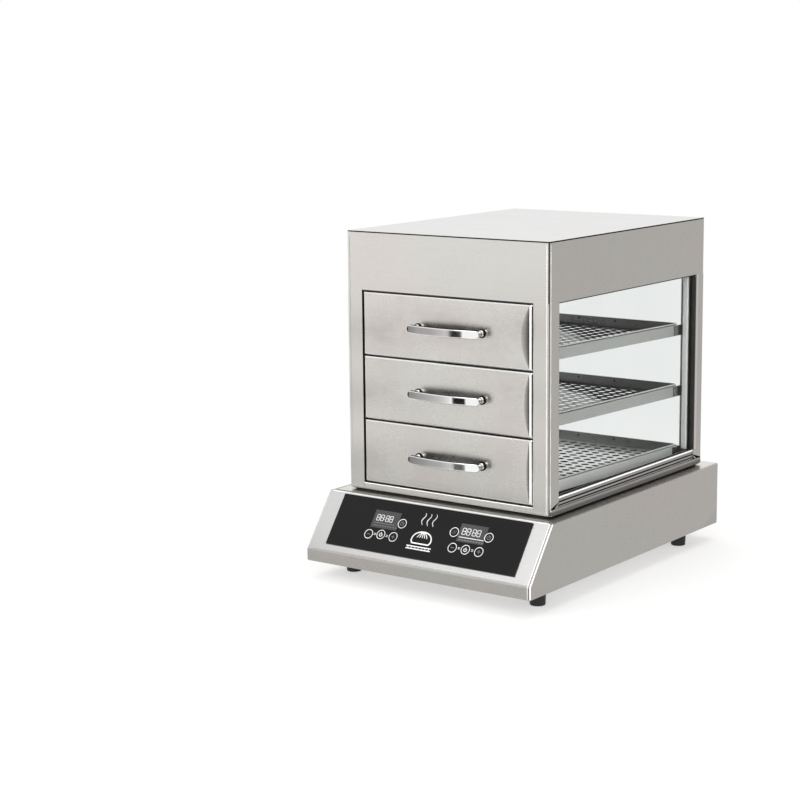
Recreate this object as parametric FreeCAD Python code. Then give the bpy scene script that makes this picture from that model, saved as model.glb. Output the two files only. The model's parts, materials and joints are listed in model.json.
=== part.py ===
import FreeCAD, Part
import math
import os
from FreeCAD import Vector

# A counter-top bun steamer: a wedge-fronted steam base, a glazed cabinet with three drawers, and a hood.
# X runs across the front, Y from the front to the back, Z up. All sizes are in millimetres.
# The origin is on the surface that the feet stand on, below the centre of the outer box.

# Sheet and clearances
SHEET = 1.5
SEAT_GAP = 0.3
RUNNING_GAP = 1.5

# The drawers, from the lowest
TIER_NAMES = ("bottom", "middle", "top")

# Directions
UP = Vector(0, 0, 1)
RIGHT = Vector(1, 0, 0)
BACK = Vector(0, 1, 0)
FRONT = Vector(0, -1, 0)

# Sides of a small round bar, of its hole and of a round foot, which are made with flats
BAR_SIDES = 10
FOOT_SIDES = 20

# Base
BASE_WIDTH = 391.0
BASE_DEPTH = 549.0
BASE_HEIGHT = 95.7
LIP_HEIGHT = 18.7
SLOPE_RUN = 57.0
LIP_BEND_RADIUS = 5.0
CREASE_BEND_RADIUS = 2.5
BASE_CORNER_RADIUS = 5.0
FOOT_HEIGHT = 26.5
FOOT_TOP_DIAMETER = 25.5
FOOT_BOTTOM_DIAMETER = 21.0
FOOT_INSET_X = 32.5
FOOT_INSET_FRONT = 70.0
FOOT_INSET_REAR = 70.0
FOOT_TREAD_STEP = 1.2
FOOT_RECESS_DEPTH = 6.0
FOOT_SCREW_DIAMETER = 4.0
FOOT_SCREW_HEAD = 8.0
FOOT_SCREW_HEAD_HEIGHT = 3.0
FOOT_SCREW_NUT = 7.0
FOOT_SCREW_NUT_HEIGHT = 3.0
FOOT_SCREW_END = 1.0
FLOOR_LIP = 12.0
FLOOR_SLOTS = 10
FLOOR_SLOT_PITCH = 14.0
FLOOR_SLOT_LENGTH = 50.0
FLOOR_SLOT_FROM_REAR = 30.0

# Cabinet
CABINET_WIDTH = 350.0
CABINET_DEPTH = 447.0
FRONT_LEDGE = 22.7
SEAL_HEIGHT = 1.3
SEAL_SETBACK = 6.0
SEAL_WIDTH = 8.0
PLINTH_HEIGHT = 11.0
PLINTH_PROUD = 3.0
PLINTH_RADIUS = 5.0
OPENING_HEIGHT = 288.5
POST_WIDTH = 26.0
POST_DEPTH = 26.0
POST_TONGUE = 24.0
POST_FOOT_RADIUS = 9.0
FRONT_APRON = 8.3
HOOD_HEIGHT = 85.8
HOOD_SEAM = 0.4
HOOD_FLANGE = 16.0
LID_RETURN = 4.9
HOOD_LINER_RISE = 14.0

# Glazing
GLASS = 4.0
GLASS_SETBACK = 6.0
CHANNEL_HEIGHT = 15.0
CHANNEL_LIP = 1.2
GLASS_TUCK = 10.0
STRIP_HEIGHT = 2.0

# Drawers
GAP_BETWEEN_FRONTS = 1.4
GAP_AT_RAIL = 1.6
GAP_AT_HOOD = 2.0
GAP_AT_POSTS = 1.5
FRONT_THICKNESS = 16.0
FRONT_BEND_RADIUS = 2.5
FRONT_SETBACK = 1.0
FRONT_RETURN = 9.0
TRAY_LIFT = 12.5
TRAY_HEIGHT = 17.0
TRAY_HEM = 2.4
TRAY_CORNER_RADIUS = 9.0
TRAY_FRONT_GAP = 3.0
TRAY_REAR_GAP = 4.0
TRAY_LEDGE = 12.0
FLOOR_SHEET = 1.0
BRACKET_WIDTH = 30.0
BRACKET_SPREAD = 100.0
BRACKET_LIFT = 10.0
BRACKET_HEIGHT = 21.5
RUNNER_FALL_DEG = 1.45
RUNNER_LEDGE = 14.0
RUNNER_LEG = 15.0
HOLE_DIAMETER = 8.5
HOLE_PITCH = 42.0
HOLE_BORDER = 20.0

# Handles
HANDLE_LENGTH = 125.0
HANDLE_CENTRES = 111.0
HANDLE_OFFSET = 7.0
HANDLE_HEIGHT = 12.5
HANDLE_THICKNESS = 3.0
HANDLE_REACH = 26.0
HANDLE_BOW = 8.0
HANDLE_FLATS = 12
HANDLE_FOOT_DIAMETER = 9.0
HANDLE_SCREW_DIAMETER = 4.0
HANDLE_SCREW_BITE = 7.0
HANDLE_BORE_DEPTH = 8.0
HANDLE_SCREW_HEAD = 8.0
HANDLE_SCREW_HEAD_HEIGHT = 2.4
HANDLE_ABOVE_MIDDLE = 0.0

# Control panel
PANEL_WIDTH = 331.0
PANEL_HEIGHT = 82.0
PANEL_THICKNESS = 2.0
PANEL_BELOW_CREASE = 2.5
PANEL_LAP = 8.0
DISPLAY_WIDTH = 46.0
DISPLAY_HEIGHT = 28.0
DISPLAY_SPREAD = 76.0
DISPLAY_BELOW_PANEL_TOP = 17.0
CONTROL_BOARD_WIDTH = 320.0
CONTROL_BOARD_HEIGHT = 76.0
CONTROL_BOARD_BELOW_CREASE = 8.0
BOARD_THICKNESS = 1.6
STANDOFF_EDGE = 4.0
STANDOFF_LENGTH = 8.0
STANDOFF_DIAMETER = 6.0

# Steam works
PAN_SHEET = 1.0
PAN_DEPTH = 52.0
PAN_MARGIN_X = 44.0
PAN_MARGIN_FRONT = 62.0
PAN_MARGIN_REAR = 44.0
PAN_RIM = 10.0
PAN_CORNER_RADIUS = 18.0
HEATER_DIAMETER = 8.5
HEATER_SPREAD = 62.0
HEATER_PITCH = 70.0
HEATER_ABOVE_PAN_FLOOR = 14.0
HEATER_TAIL = 34.0
HEATER_REAR_GAP = 30.0
PROBE_DIAMETER = 6.0
PROBE_LENGTH = 90.0
NUT_WIDTH = 14.0
NUT_HEIGHT = 6.0

# Electrics on the floor of the base
POWER_BOARD_WIDTH = 150.0
POWER_BOARD_DEPTH = 56.0
POWER_BOARD_FROM_FRONT = 42.0
PILLAR_HEIGHT = 6.0
RELAY_WIDTH = 18.0
RELAY_DEPTH = 26.0
RELAY_HEIGHT = 14.0
TERMINALS = 3
TERMINAL_WIDTH = 40.0
TERMINAL_DEPTH = 20.0
TERMINAL_HEIGHT = 16.0
TERMINAL_HOLE_DIAMETER = 6.0
TERMINAL_HOLE_DEPTH = 8.0
TERMINAL_FROM_REAR = 30.0

# Power inlet and louvres
GLAND_OUT = 9.0
GLAND_HEX = 22.0
GLAND_DOME_STEP = 3.0
GLAND_THREAD_DIAMETER = 16.0
GLAND_THREAD_END = 2.0
GLAND_BORE_DIAMETER = 9.0
GLAND_FROM_SIDE = 60.0
GLAND_ABOVE_FLOOR = 34.0
LOUVRE_FROM_SIDE = 60.0
LOUVRE_COUNT = 6
LOUVRE_LENGTH = 60.0
LOUVRE_HEIGHT = 4.0
LOUVRE_PITCH = 9.0

# Places worked out from the sizes above
BASE_FRONT_Y = -(BASE_DEPTH + GLAND_OUT) / 2
BASE_REAR_Y = BASE_FRONT_Y + BASE_DEPTH
CREASE_Y = BASE_FRONT_Y + SLOPE_RUN
FRONT_Y = CREASE_Y + FRONT_LEDGE
REAR_Y = FRONT_Y + CABINET_DEPTH
HALF_BASE = BASE_WIDTH / 2
HALF_CABINET = CABINET_WIDTH / 2
HALF_OPENING = HALF_CABINET - POST_WIDTH
BASE_BOTTOM_Z = FOOT_HEIGHT
BASE_TOP_Z = BASE_BOTTOM_Z + BASE_HEIGHT
PLINTH_Z = BASE_TOP_Z + SEAL_HEIGHT
PLINTH_TOP_Z = PLINTH_Z + PLINTH_HEIGHT
RAIL_TOP_Z = PLINTH_TOP_Z + SHEET
HOOD_Z = RAIL_TOP_Z + OPENING_HEIGHT
HOOD_TOP_Z = HOOD_Z + HOOD_HEIGHT
POST_BACK_Y = FRONT_Y + POST_DEPTH
REAR_POST_Y = REAR_Y - POST_DEPTH
TIERS = len(TIER_NAMES)
FRONT_HEIGHT = (OPENING_HEIGHT - GAP_AT_RAIL - GAP_AT_HOOD - (TIERS - 1) * GAP_BETWEEN_FRONTS) / TIERS
FRONT_WIDTH = 2 * (HALF_OPENING - GAP_AT_POSTS)
FRONT_FACE_Y = FRONT_Y + FRONT_SETBACK
FRONT_BACK_Y = FRONT_FACE_Y + FRONT_THICKNESS
TRAY_WIDTH = 2 * (HALF_OPENING - RUNNING_GAP)
TRAY_REAR_Y = REAR_POST_Y - TRAY_REAR_GAP
SLOPE_ANGLE_DEG = math.degrees(math.atan2(BASE_HEIGHT - LIP_HEIGHT, SLOPE_RUN))


def box(x0, x1, y0, y1, z0, z1):
    return Part.makeBox(x1 - x0, y1 - y0, z1 - z0, Vector(x0, y0, z0))


def prism(points, direction):
    outline = Part.makePolygon(points + [points[0]])
    return Part.Face(outline).extrude(direction)


def prism_along_x(outline_yz, x0, x1):
    return prism([Vector(x0, y, z) for y, z in outline_yz], Vector(x1 - x0, 0, 0))


def prism_along_y(outline_xz, y0, y1):
    return prism([Vector(x, y0, z) for x, z in outline_xz], Vector(0, y1 - y0, 0))


def same(a, b):
    return abs(a - b) < 1e-3


def flat_sided(corner_radius, sides, start, direction, length):
    """A straight bar with flats, whose corners lie on the stated radius."""
    points = []
    for i in range(sides):
        angle = 2 * math.pi * i / sides
        points.append(Vector(corner_radius * math.cos(angle), corner_radius * math.sin(angle), 0))
    solid = prism(points, Vector(0, 0, length))
    solid.Placement = FreeCAD.Placement(start, FreeCAD.Rotation(Vector(0, 0, 1), direction))
    return solid


def bar(radius, start, direction, length):
    return flat_sided(radius, BAR_SIDES, start, direction, length)


def hole(radius, start, direction, length):
    """A cutter for a hole whose flats clear a round bar of the stated radius."""
    return flat_sided(radius / math.cos(math.pi / BAR_SIDES), BAR_SIDES, start, direction, length)


def hexagon(width, start, direction, length):
    """A hexagonal bar, as wide across its flats as stated."""
    return flat_sided(width / math.sqrt(3), 6, start, direction, length)


def taper(radius_0, radius_1, sides, start, direction, length):
    """A many-sided cone between two radii, made of flat faces."""
    rings = []
    for radius, along in ((radius_0, 0), (radius_1, length)):
        ring = []
        for i in range(sides):
            angle = 2 * math.pi * i / sides
            ring.append(Vector(radius * math.cos(angle), radius * math.sin(angle), along))
        rings.append(ring)
    outlines = [list(reversed(rings[0])), rings[1]]
    for i in range(sides):
        outlines.append([rings[0][i - 1], rings[0][i], rings[1][i], rings[1][i - 1]])
    faces = [Part.Face(Part.makePolygon(corners + [corners[0]])) for corners in outlines]
    shell = Part.makeShell(faces)
    shell.sewShape()
    solid = Part.makeSolid(shell)
    solid.Placement = FreeCAD.Placement(start, FreeCAD.Rotation(Vector(0, 0, 1), direction))
    return solid


def upright_edges(shape, test):
    """The edges along Z whose middle passes the test on x and y."""
    found = []
    for edge in shape.Edges:
        ends = [v.Point for v in edge.Vertexes]
        if len(ends) == 2 and same((ends[0] - ends[1]).cross(Vector(0, 0, 1)).Length, 0):
            middle = edge.CenterOfMass
            if test(middle.x, middle.y):
                found.append(edge)
    return found


def edges_at(shape, test):
    return [edge for edge in shape.Edges if test(edge.CenterOfMass, edge.BoundBox)]


def mirrored_x(shape):
    return shape.mirror(Vector(0, 0, 0), Vector(1, 0, 0))


def rounded_box(x0, x1, y0, y1, z0, z1, radius):
    solid = box(x0, x1, y0, y1, z0, z1)
    return solid.makeFillet(radius, upright_edges(solid, lambda x, y: True))


def save(name, shape):
    shape.exportStep("parts/" + name + ".step")


# Base

def base_outline(inset, open_below):
    """The side profile of the base, moved in by the inset, on Y and Z."""
    turn = math.radians(SLOPE_ANGLE_DEG)
    front = BASE_FRONT_Y + inset
    rear = BASE_REAR_Y - inset
    top = BASE_TOP_Z - inset
    bottom = BASE_BOTTOM_Z - open_below
    lip_z = BASE_BOTTOM_Z + LIP_HEIGHT - inset * math.tan((math.pi / 2 - turn) / 2)
    crease_y = CREASE_Y + inset * math.tan(turn / 2)
    return [(front, bottom), (front, lip_z), (crease_y, top), (rear, top), (rear, bottom)]


def slope_place(across, down, out):
    """A point over the slope: across along X, down from the crease, and out from its face."""
    turn = math.radians(SLOPE_ANGLE_DEG)
    y = CREASE_Y - down * math.cos(turn) - out * math.sin(turn)
    z = BASE_TOP_Z - down * math.sin(turn) + out * math.cos(turn)
    return Vector(across, y, z)


def slope_block(x0, x1, down0, down1, out0, out1):
    """A block that lies in the plane of the slope."""
    corners = [slope_place(x0, down0, out0), slope_place(x0, down1, out0)]
    corners += [slope_place(x0, down1, out1), slope_place(x0, down0, out1)]
    return prism(corners, Vector(x1 - x0, 0, 0))


def pan_opening(spread):
    """The plan of the opening for the water pan: x0, x1, y0, y1."""
    half = HALF_CABINET - PAN_MARGIN_X + spread
    return -half, half, FRONT_Y + PAN_MARGIN_FRONT - spread, REAR_Y - PAN_MARGIN_REAR + spread


def foot_places():
    x = HALF_BASE - FOOT_INSET_X
    front = BASE_FRONT_Y + FOOT_INSET_FRONT
    rear = BASE_REAR_Y - FOOT_INSET_REAR
    return {
        "front_left": (-x, front),
        "front_right": (x, front),
        "rear_left": (-x, rear),
        "rear_right": (x, rear),
    }


def gland_centre():
    return HALF_BASE - GLAND_FROM_SIDE, BASE_BOTTOM_Z + GLAND_ABOVE_FLOOR


def base_shell():
    """The folded shell: lip, slope, top, sides and back, open below, with its cut-outs."""
    outer = prism_along_x(base_outline(0, 0), -HALF_BASE, HALF_BASE)
    lip_z = BASE_BOTTOM_Z + LIP_HEIGHT
    outer = outer.makeFillet(LIP_BEND_RADIUS, edges_at(outer, lambda c, b: same(c.z, lip_z) and same(c.x, 0)))
    crease = edges_at(outer, lambda c, b: same(c.y, CREASE_Y) and same(c.x, 0))
    outer = outer.makeFillet(CREASE_BEND_RADIUS, crease)
    outer = outer.makeFillet(BASE_CORNER_RADIUS, upright_edges(outer, lambda x, y: same(y, BASE_REAR_Y)))
    inner = prism_along_x(base_outline(SHEET, SHEET), SHEET - HALF_BASE, HALF_BASE - SHEET)
    inner = inner.makeFillet(BASE_CORNER_RADIUS - SHEET, upright_edges(inner, lambda x, y: y > 0))
    shell = outer.cut(inner)
    x0, x1, y0, y1 = pan_opening(SEAT_GAP)
    below = BASE_TOP_Z - 3 * SHEET
    shell = shell.cut(rounded_box(x0, x1, y0, y1, below, BASE_TOP_Z + SHEET, PAN_CORNER_RADIUS))
    half = PANEL_WIDTH / 2 - PANEL_LAP
    top = PANEL_BELOW_CREASE + PANEL_LAP
    bottom = PANEL_BELOW_CREASE + PANEL_HEIGHT - PANEL_LAP
    shell = shell.cut(slope_block(-half, half, top, bottom, -3 * SHEET, SHEET))
    return shell.cut(rear_cuts())


def rear_cuts():
    """The louvres and the hole for the power inlet, through the back of the base."""
    cuts = []
    middle = BASE_BOTTOM_Z + BASE_HEIGHT / 2
    y0 = BASE_REAR_Y - 3 * SHEET
    x0 = -HALF_BASE + LOUVRE_FROM_SIDE
    for i in range(LOUVRE_COUNT):
        z = middle + (i - (LOUVRE_COUNT - 1) / 2) * LOUVRE_PITCH
        z0 = z - LOUVRE_HEIGHT / 2
        cuts.append(box(x0, x0 + LOUVRE_LENGTH, y0, BASE_REAR_Y + SHEET, z0, z0 + LOUVRE_HEIGHT))
    x, z = gland_centre()
    cuts.append(hole(GLAND_THREAD_DIAMETER / 2 + SEAT_GAP, Vector(x, y0, z), BACK, 4 * SHEET))
    return Part.makeCompound(cuts)


def base_floor():
    """The bottom plate, a shallow tray that closes the base from below."""
    edge = SHEET + SEAT_GAP
    x = HALF_BASE - edge
    y0 = BASE_FRONT_Y + edge
    y1 = BASE_REAR_Y - edge
    corner = BASE_CORNER_RADIUS
    plate = rounded_box(-x, x, y0, y1, BASE_BOTTOM_Z, BASE_BOTTOM_Z + FLOOR_LIP, corner)
    plate = plate.cut(rounded_box(SHEET - x, x - SHEET, y0 + SHEET, y1 - SHEET,
                                  floor_top(), BASE_BOTTOM_Z + FLOOR_LIP + SHEET, corner - SHEET))
    below = BASE_BOTTOM_Z - SHEET
    for px, py in foot_places().values():
        plate = plate.cut(hole(FOOT_SCREW_DIAMETER / 2 + SEAT_GAP, Vector(px, py, below), UP, 3 * SHEET))
    sy = BASE_REAR_Y - FLOOR_SLOT_FROM_REAR
    for i in range(FLOOR_SLOTS):
        sx = (i - (FLOOR_SLOTS - 1) / 2) * FLOOR_SLOT_PITCH
        half = LOUVRE_HEIGHT / 2
        plate = plate.cut(box(sx - half, sx + half, sy - FLOOR_SLOT_LENGTH, sy, below, floor_top() + SHEET))
    return plate


def foot(x, y):
    """A rubber foot: a tapered plug with a rounded tread and a recess for its screw."""
    top = FOOT_TOP_DIAMETER / 2
    tread = FOOT_BOTTOM_DIAMETER / 2
    step = FOOT_TREAD_STEP
    plug = taper(tread - step, tread, FOOT_SIDES, Vector(x, y, 0), UP, step)
    plug = plug.fuse(taper(tread, top, FOOT_SIDES, Vector(x, y, step), UP, FOOT_HEIGHT - step))
    plug = plug.cut(hole(FOOT_SCREW_HEAD / 2 + SEAT_GAP, Vector(x, y, -step), UP, FOOT_RECESS_DEPTH + step))
    return plug.cut(hole(FOOT_SCREW_DIAMETER / 2 + SEAT_GAP, Vector(x, y, 0), UP, FOOT_HEIGHT + step))


def foot_screws():
    """Four screws that hold the feet on, each with its nut above the floor plate."""
    solids = []
    for x, y in foot_places().values():
        head = Vector(x, y, FOOT_RECESS_DEPTH - FOOT_SCREW_HEAD_HEIGHT)
        screw = bar(FOOT_SCREW_HEAD / 2, head, UP, FOOT_SCREW_HEAD_HEIGHT)
        shank = floor_top() + FOOT_SCREW_NUT_HEIGHT + FOOT_SCREW_END - FOOT_RECESS_DEPTH
        screw = screw.fuse(bar(FOOT_SCREW_DIAMETER / 2, Vector(x, y, FOOT_RECESS_DEPTH), UP, shank))
        screw = screw.fuse(hexagon(FOOT_SCREW_NUT, Vector(x, y, floor_top()), UP, FOOT_SCREW_NUT_HEIGHT))
        solids.append(screw)
    return Part.makeCompound(solids)


# Control panel on the slope

def display_block(side, spread, out0, out1):
    middle = side * DISPLAY_SPREAD
    half = DISPLAY_WIDTH / 2 + spread
    top = PANEL_BELOW_CREASE + DISPLAY_BELOW_PANEL_TOP - spread
    return slope_block(middle - half, middle + half, top, top + DISPLAY_HEIGHT + 2 * spread, out0, out1)


def control_panel():
    """The dark glass, with a window for each display."""
    top = PANEL_BELOW_CREASE
    half = PANEL_WIDTH / 2
    glass = slope_block(-half, half, top, top + PANEL_HEIGHT, 0, PANEL_THICKNESS)
    for side in (-1, 1):
        glass = glass.cut(display_block(side, SEAT_GAP, -PANEL_THICKNESS, 2 * PANEL_THICKNESS))
    return glass


def board_plane():
    """How far the front of the control board lies behind the face of the slope."""
    return -(SHEET + STANDOFF_LENGTH)


def display(side):
    """A display module, from the control board out through the panel's window."""
    return display_block(side, 0, board_plane(), PANEL_THICKNESS)


def control_board():
    half = CONTROL_BOARD_WIDTH / 2
    top = CONTROL_BOARD_BELOW_CREASE
    back = board_plane() - BOARD_THICKNESS
    return slope_block(-half, half, top, top + CONTROL_BOARD_HEIGHT, back, board_plane())


def board_standoffs():
    """Hexagonal pillars between the slope's sheet and the corners of the control board."""
    turn = math.radians(SLOPE_ANGLE_DEG)
    inward = Vector(0, math.sin(turn), -math.cos(turn))
    beside_cut_out = PANEL_WIDTH / 2 - PANEL_LAP + STANDOFF_DIAMETER / 2 + SEAT_GAP
    x = max(CONTROL_BOARD_WIDTH / 2 - STANDOFF_EDGE, beside_cut_out)
    top = CONTROL_BOARD_BELOW_CREASE + STANDOFF_EDGE
    bottom = CONTROL_BOARD_BELOW_CREASE + CONTROL_BOARD_HEIGHT - STANDOFF_EDGE
    solids = []
    for side in (-1, 1):
        for down in (top, bottom):
            start = slope_place(side * x, down, -SHEET)
            solids.append(hexagon(STANDOFF_DIAMETER, start, inward, STANDOFF_LENGTH))
    return Part.makeCompound(solids)


# Steam works in the base

def water_pan():
    """A drawn tub that hangs by its rim in the opening of the base."""
    x0, x1, y0, y1 = pan_opening(0)
    floor_z = BASE_TOP_Z - PAN_DEPTH
    tub = rounded_box(x0, x1, y0, y1, floor_z, BASE_TOP_Z, PAN_CORNER_RADIUS)
    rx0, rx1, ry0, ry1 = pan_opening(PAN_RIM)
    rim_top = BASE_TOP_Z + PAN_SHEET
    tub = tub.fuse(rounded_box(rx0, rx1, ry0, ry1, BASE_TOP_Z, rim_top, PAN_CORNER_RADIUS + PAN_RIM))
    wall = PAN_SHEET
    hollow = rounded_box(x0 + wall, x1 - wall, y0 + wall, y1 - wall, floor_z + wall, rim_top + wall,
                         PAN_CORNER_RADIUS - wall)
    tub = tub.cut(hollow)
    for x, radius in pan_ports():
        tub = tub.cut(hole(radius + SEAT_GAP, Vector(x, y0 - wall, heater_z()), BACK, 3 * wall))
    return tub


def heater_z():
    return BASE_TOP_Z - PAN_DEPTH + PAN_SHEET + HEATER_ABOVE_PAN_FLOOR


def pan_ports():
    """Where the heater legs and the probe pass the front wall of the pan: x and radius."""
    ports = [(0.0, PROBE_DIAMETER / 2)]
    for side in (-1, 1):
        for leg in (-1, 1):
            ports.append((side * HEATER_SPREAD + leg * HEATER_PITCH / 2, HEATER_DIAMETER / 2))
    return ports


def heater(side):
    """A hairpin element: two legs through the front wall of the pan and a half turn at the back."""
    radius = HEATER_DIAMETER / 2
    y_start = pan_opening(0)[2] - HEATER_TAIL
    y_turn = pan_opening(0)[3] - HEATER_REAR_GAP - HEATER_PITCH / 2
    middle = side * HEATER_SPREAD
    z = heater_z()
    right = middle + HEATER_PITCH / 2
    length = y_turn - y_start
    legs = [bar(radius, Vector(middle - HEATER_PITCH / 2, y_start, z), BACK, length)]
    legs.append(bar(radius, Vector(right, y_start, z), BACK, length))
    end = edges_at(legs[1], lambda c, b: same(b.YMax, y_turn) and same(b.YLength, 0))
    section = Part.Face(Part.Wire(Part.__sortEdges__(end)))
    bend = section.revolve(Vector(middle, y_turn, z), UP, 180)
    return legs[0].fuse([legs[1], bend])


def port_nuts():
    """Hexagon nuts that clamp the heater legs and the probe to the front wall of the pan."""
    y0 = pan_opening(0)[2]
    solids = []
    for x, radius in pan_ports():
        nut = hexagon(NUT_WIDTH, Vector(x, y0, heater_z()), FRONT, NUT_HEIGHT)
        bore = hole(radius + SEAT_GAP, Vector(x, y0 + PAN_SHEET, heater_z()), FRONT, 2 * NUT_HEIGHT)
        solids.append(nut.cut(bore))
    return Part.makeCompound(solids)


def boil_dry_probe():
    y0 = pan_opening(0)[2] - HEATER_TAIL / 2
    return bar(PROBE_DIAMETER / 2, Vector(0, y0, heater_z()), BACK, PROBE_LENGTH)


# Electrics on the floor of the base

def floor_top():
    return BASE_BOTTOM_Z + SHEET


def power_board():
    """The power board, on its pillars on the floor plate."""
    y0 = BASE_FRONT_Y + POWER_BOARD_FROM_FRONT
    z0 = floor_top() + PILLAR_HEIGHT
    half = POWER_BOARD_WIDTH / 2
    board = box(-half, half, y0, y0 + POWER_BOARD_DEPTH, z0, z0 + BOARD_THICKNESS)
    for x in (-half + STANDOFF_EDGE, half - STANDOFF_EDGE):
        for y in (y0 + STANDOFF_EDGE, y0 + POWER_BOARD_DEPTH - STANDOFF_EDGE):
            board = board.fuse(hexagon(STANDOFF_DIAMETER, Vector(x, y, floor_top()), UP, PILLAR_HEIGHT))
    return board


def relays():
    """One relay for each heater."""
    y0 = BASE_FRONT_Y + POWER_BOARD_FROM_FRONT + (POWER_BOARD_DEPTH - RELAY_DEPTH) / 2
    z0 = floor_top() + PILLAR_HEIGHT + BOARD_THICKNESS
    half = RELAY_WIDTH / 2
    solids = []
    for side in (-1, 1):
        x = side * POWER_BOARD_WIDTH / 4
        solids.append(box(x - half, x + half, y0, y0 + RELAY_DEPTH, z0, z0 + RELAY_HEIGHT))
    return Part.makeCompound(solids)


def terminal_block():
    """The block where the supply comes in, on the floor beside the inlet."""
    x = gland_centre()[0]
    y1 = BASE_REAR_Y - TERMINAL_FROM_REAR
    half = TERMINAL_WIDTH / 2
    top = floor_top() + TERMINAL_HEIGHT
    block = box(x - half, x + half, y1 - TERMINAL_DEPTH, y1, floor_top(), top)
    for i in range(TERMINALS):
        cx = x + (i - (TERMINALS - 1) / 2) * TERMINAL_WIDTH / TERMINALS
        start = Vector(cx, y1 - TERMINAL_DEPTH / 2, top - TERMINAL_HOLE_DEPTH)
        block = block.cut(hole(TERMINAL_HOLE_DIAMETER / 2, start, UP, 2 * TERMINAL_HOLE_DEPTH))
    return block


def cable_gland():
    """The empty inlet for the supply lead: a domed nut outside, the thread and a lock nut inside."""
    x, z = gland_centre()
    half_out = GLAND_OUT / 2
    inside = SHEET + NUT_HEIGHT + GLAND_THREAD_END
    dome = GLAND_HEX / 2
    gland = hexagon(GLAND_HEX, Vector(x, BASE_REAR_Y, z), BACK, half_out)
    gland = gland.fuse(taper(dome, dome - GLAND_DOME_STEP, FOOT_SIDES, Vector(x, BASE_REAR_Y + half_out, z),
                             BACK, half_out))
    gland = gland.fuse(bar(GLAND_THREAD_DIAMETER / 2, Vector(x, BASE_REAR_Y - inside, z), BACK, inside))
    gland = gland.fuse(hexagon(GLAND_HEX, Vector(x, BASE_REAR_Y - SHEET, z), FRONT, NUT_HEIGHT))
    length = inside + GLAND_OUT
    return gland.cut(hole(GLAND_BORE_DIAMETER / 2, Vector(x, BASE_REAR_Y - length, z), BACK, 2 * length))


# Cabinet frame

def plinth_frame():
    """The rounded bar that runs round the foot of the cabinet."""
    x = HALF_CABINET + PLINTH_PROUD
    y0 = FRONT_Y + SHEET
    y1 = REAR_Y - SHEET
    ring = box(-x, x, y0, y1, PLINTH_Z, PLINTH_TOP_Z)
    ring = ring.makeFillet(PLINTH_RADIUS, edges_at(ring, lambda c, b: same(b.ZLength, 0)))
    return ring.cut(box(-HALF_OPENING, HALF_OPENING, POST_BACK_Y, REAR_POST_Y, BASE_TOP_Z, RAIL_TOP_Z))


def plinth_seal():
    """The black strip between the cabinet and the top of the base."""
    x = HALF_CABINET - SEAL_SETBACK
    y0 = FRONT_Y + SEAL_SETBACK
    y1 = REAR_Y - SEAL_SETBACK
    width = SEAL_WIDTH
    ring = box(-x, x, y0, y1, BASE_TOP_Z, PLINTH_Z)
    return ring.cut(box(width - x, x - width, y0 + width, y1 - width, BASE_BOTTOM_Z, PLINTH_TOP_Z))


def front_right_post():
    """A folded post. Its front face laps over the plinth, and its side face ends in a round corner."""
    x0 = HALF_OPENING
    x1 = HALF_CABINET
    y0 = FRONT_Y
    y1 = POST_BACK_Y
    z0 = PLINTH_TOP_Z
    post = box(x0, x1, y0, y1, z0, HOOD_Z)
    post = post.cut(box(x0 + SHEET, x1 - SHEET, y0 + SHEET, y1 - SHEET, z0 - SHEET, HOOD_Z + SHEET))
    radius = POST_FOOT_RADIUS
    corner = box(x1 - SHEET, x1 + SHEET, y1 - radius, y1 + SHEET, z0 - SHEET, z0 + radius)
    round_part = Part.makeCylinder(radius, 4 * SHEET, Vector(x1 - 2 * SHEET, y1 - radius, z0 + radius), RIGHT)
    post = post.cut(corner.cut(round_part))
    post = post.fuse(box(x0, x1, y0, y0 + SHEET, z0 - FRONT_APRON, z0))
    inset = SHEET + SEAT_GAP
    tongue = box(x0 + SHEET, x1 - inset, y0 + inset, y1 - SHEET, HOOD_Z - SHEET, HOOD_Z + POST_TONGUE)
    tongue = tongue.cut(box(x0 + 2 * SHEET, x1 - inset - SHEET, y0 + inset + SHEET, y1 - 2 * SHEET,
                            HOOD_Z, HOOD_Z + POST_TONGUE + SHEET))
    return post.fuse(tongue)


def rear_right_post():
    """The same post, turned to the back."""
    return front_right_post().mirror(Vector(0, (FRONT_Y + REAR_Y) / 2, 0), BACK)


def front_rail():
    """The sill below the drawers: a face that laps over the plinth and a ledge on top of it."""
    x = HALF_OPENING
    face = box(-x, x, FRONT_Y, FRONT_Y + SHEET, PLINTH_TOP_Z - FRONT_APRON, RAIL_TOP_Z)
    ledge = box(-x, x, FRONT_Y, POST_BACK_Y, PLINTH_TOP_Z, RAIL_TOP_Z)
    return face.fuse(ledge).removeSplitter()


def head_rail():
    """The box rail above the drawers, inside the lower edge of the hood."""
    x = HALF_OPENING
    y0 = FRONT_Y + SHEET + SEAT_GAP
    y1 = POST_BACK_Y - SHEET
    top = HOOD_Z + POST_TONGUE
    rail = box(-x, x, y0, y1, HOOD_Z, top)
    return rail.cut(box(-HALF_CABINET, HALF_CABINET, y0 + SHEET, y1 - SHEET, HOOD_Z + SHEET, top - SHEET))


def channel_outline(face):
    """The glass channel in section: how far in from the outer face of the cabinet, and the height."""
    outer = GLASS_SETBACK - SEAT_GAP - CHANNEL_LIP
    slot0 = GLASS_SETBACK - SEAT_GAP
    slot1 = GLASS_SETBACK + GLASS + SEAT_GAP
    inner = slot1 + CHANNEL_LIP
    top = PLINTH_TOP_Z + CHANNEL_HEIGHT
    web = PLINTH_TOP_Z + SHEET
    outline = [(SHEET, PLINTH_TOP_Z), (inner, PLINTH_TOP_Z), (inner, top), (slot1, top), (slot1, web)]
    outline += [(slot0, web), (slot0, top), (outer, top), (outer, web), (SHEET, web)]
    return [(face - inward, z) for inward, z in outline]


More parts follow.
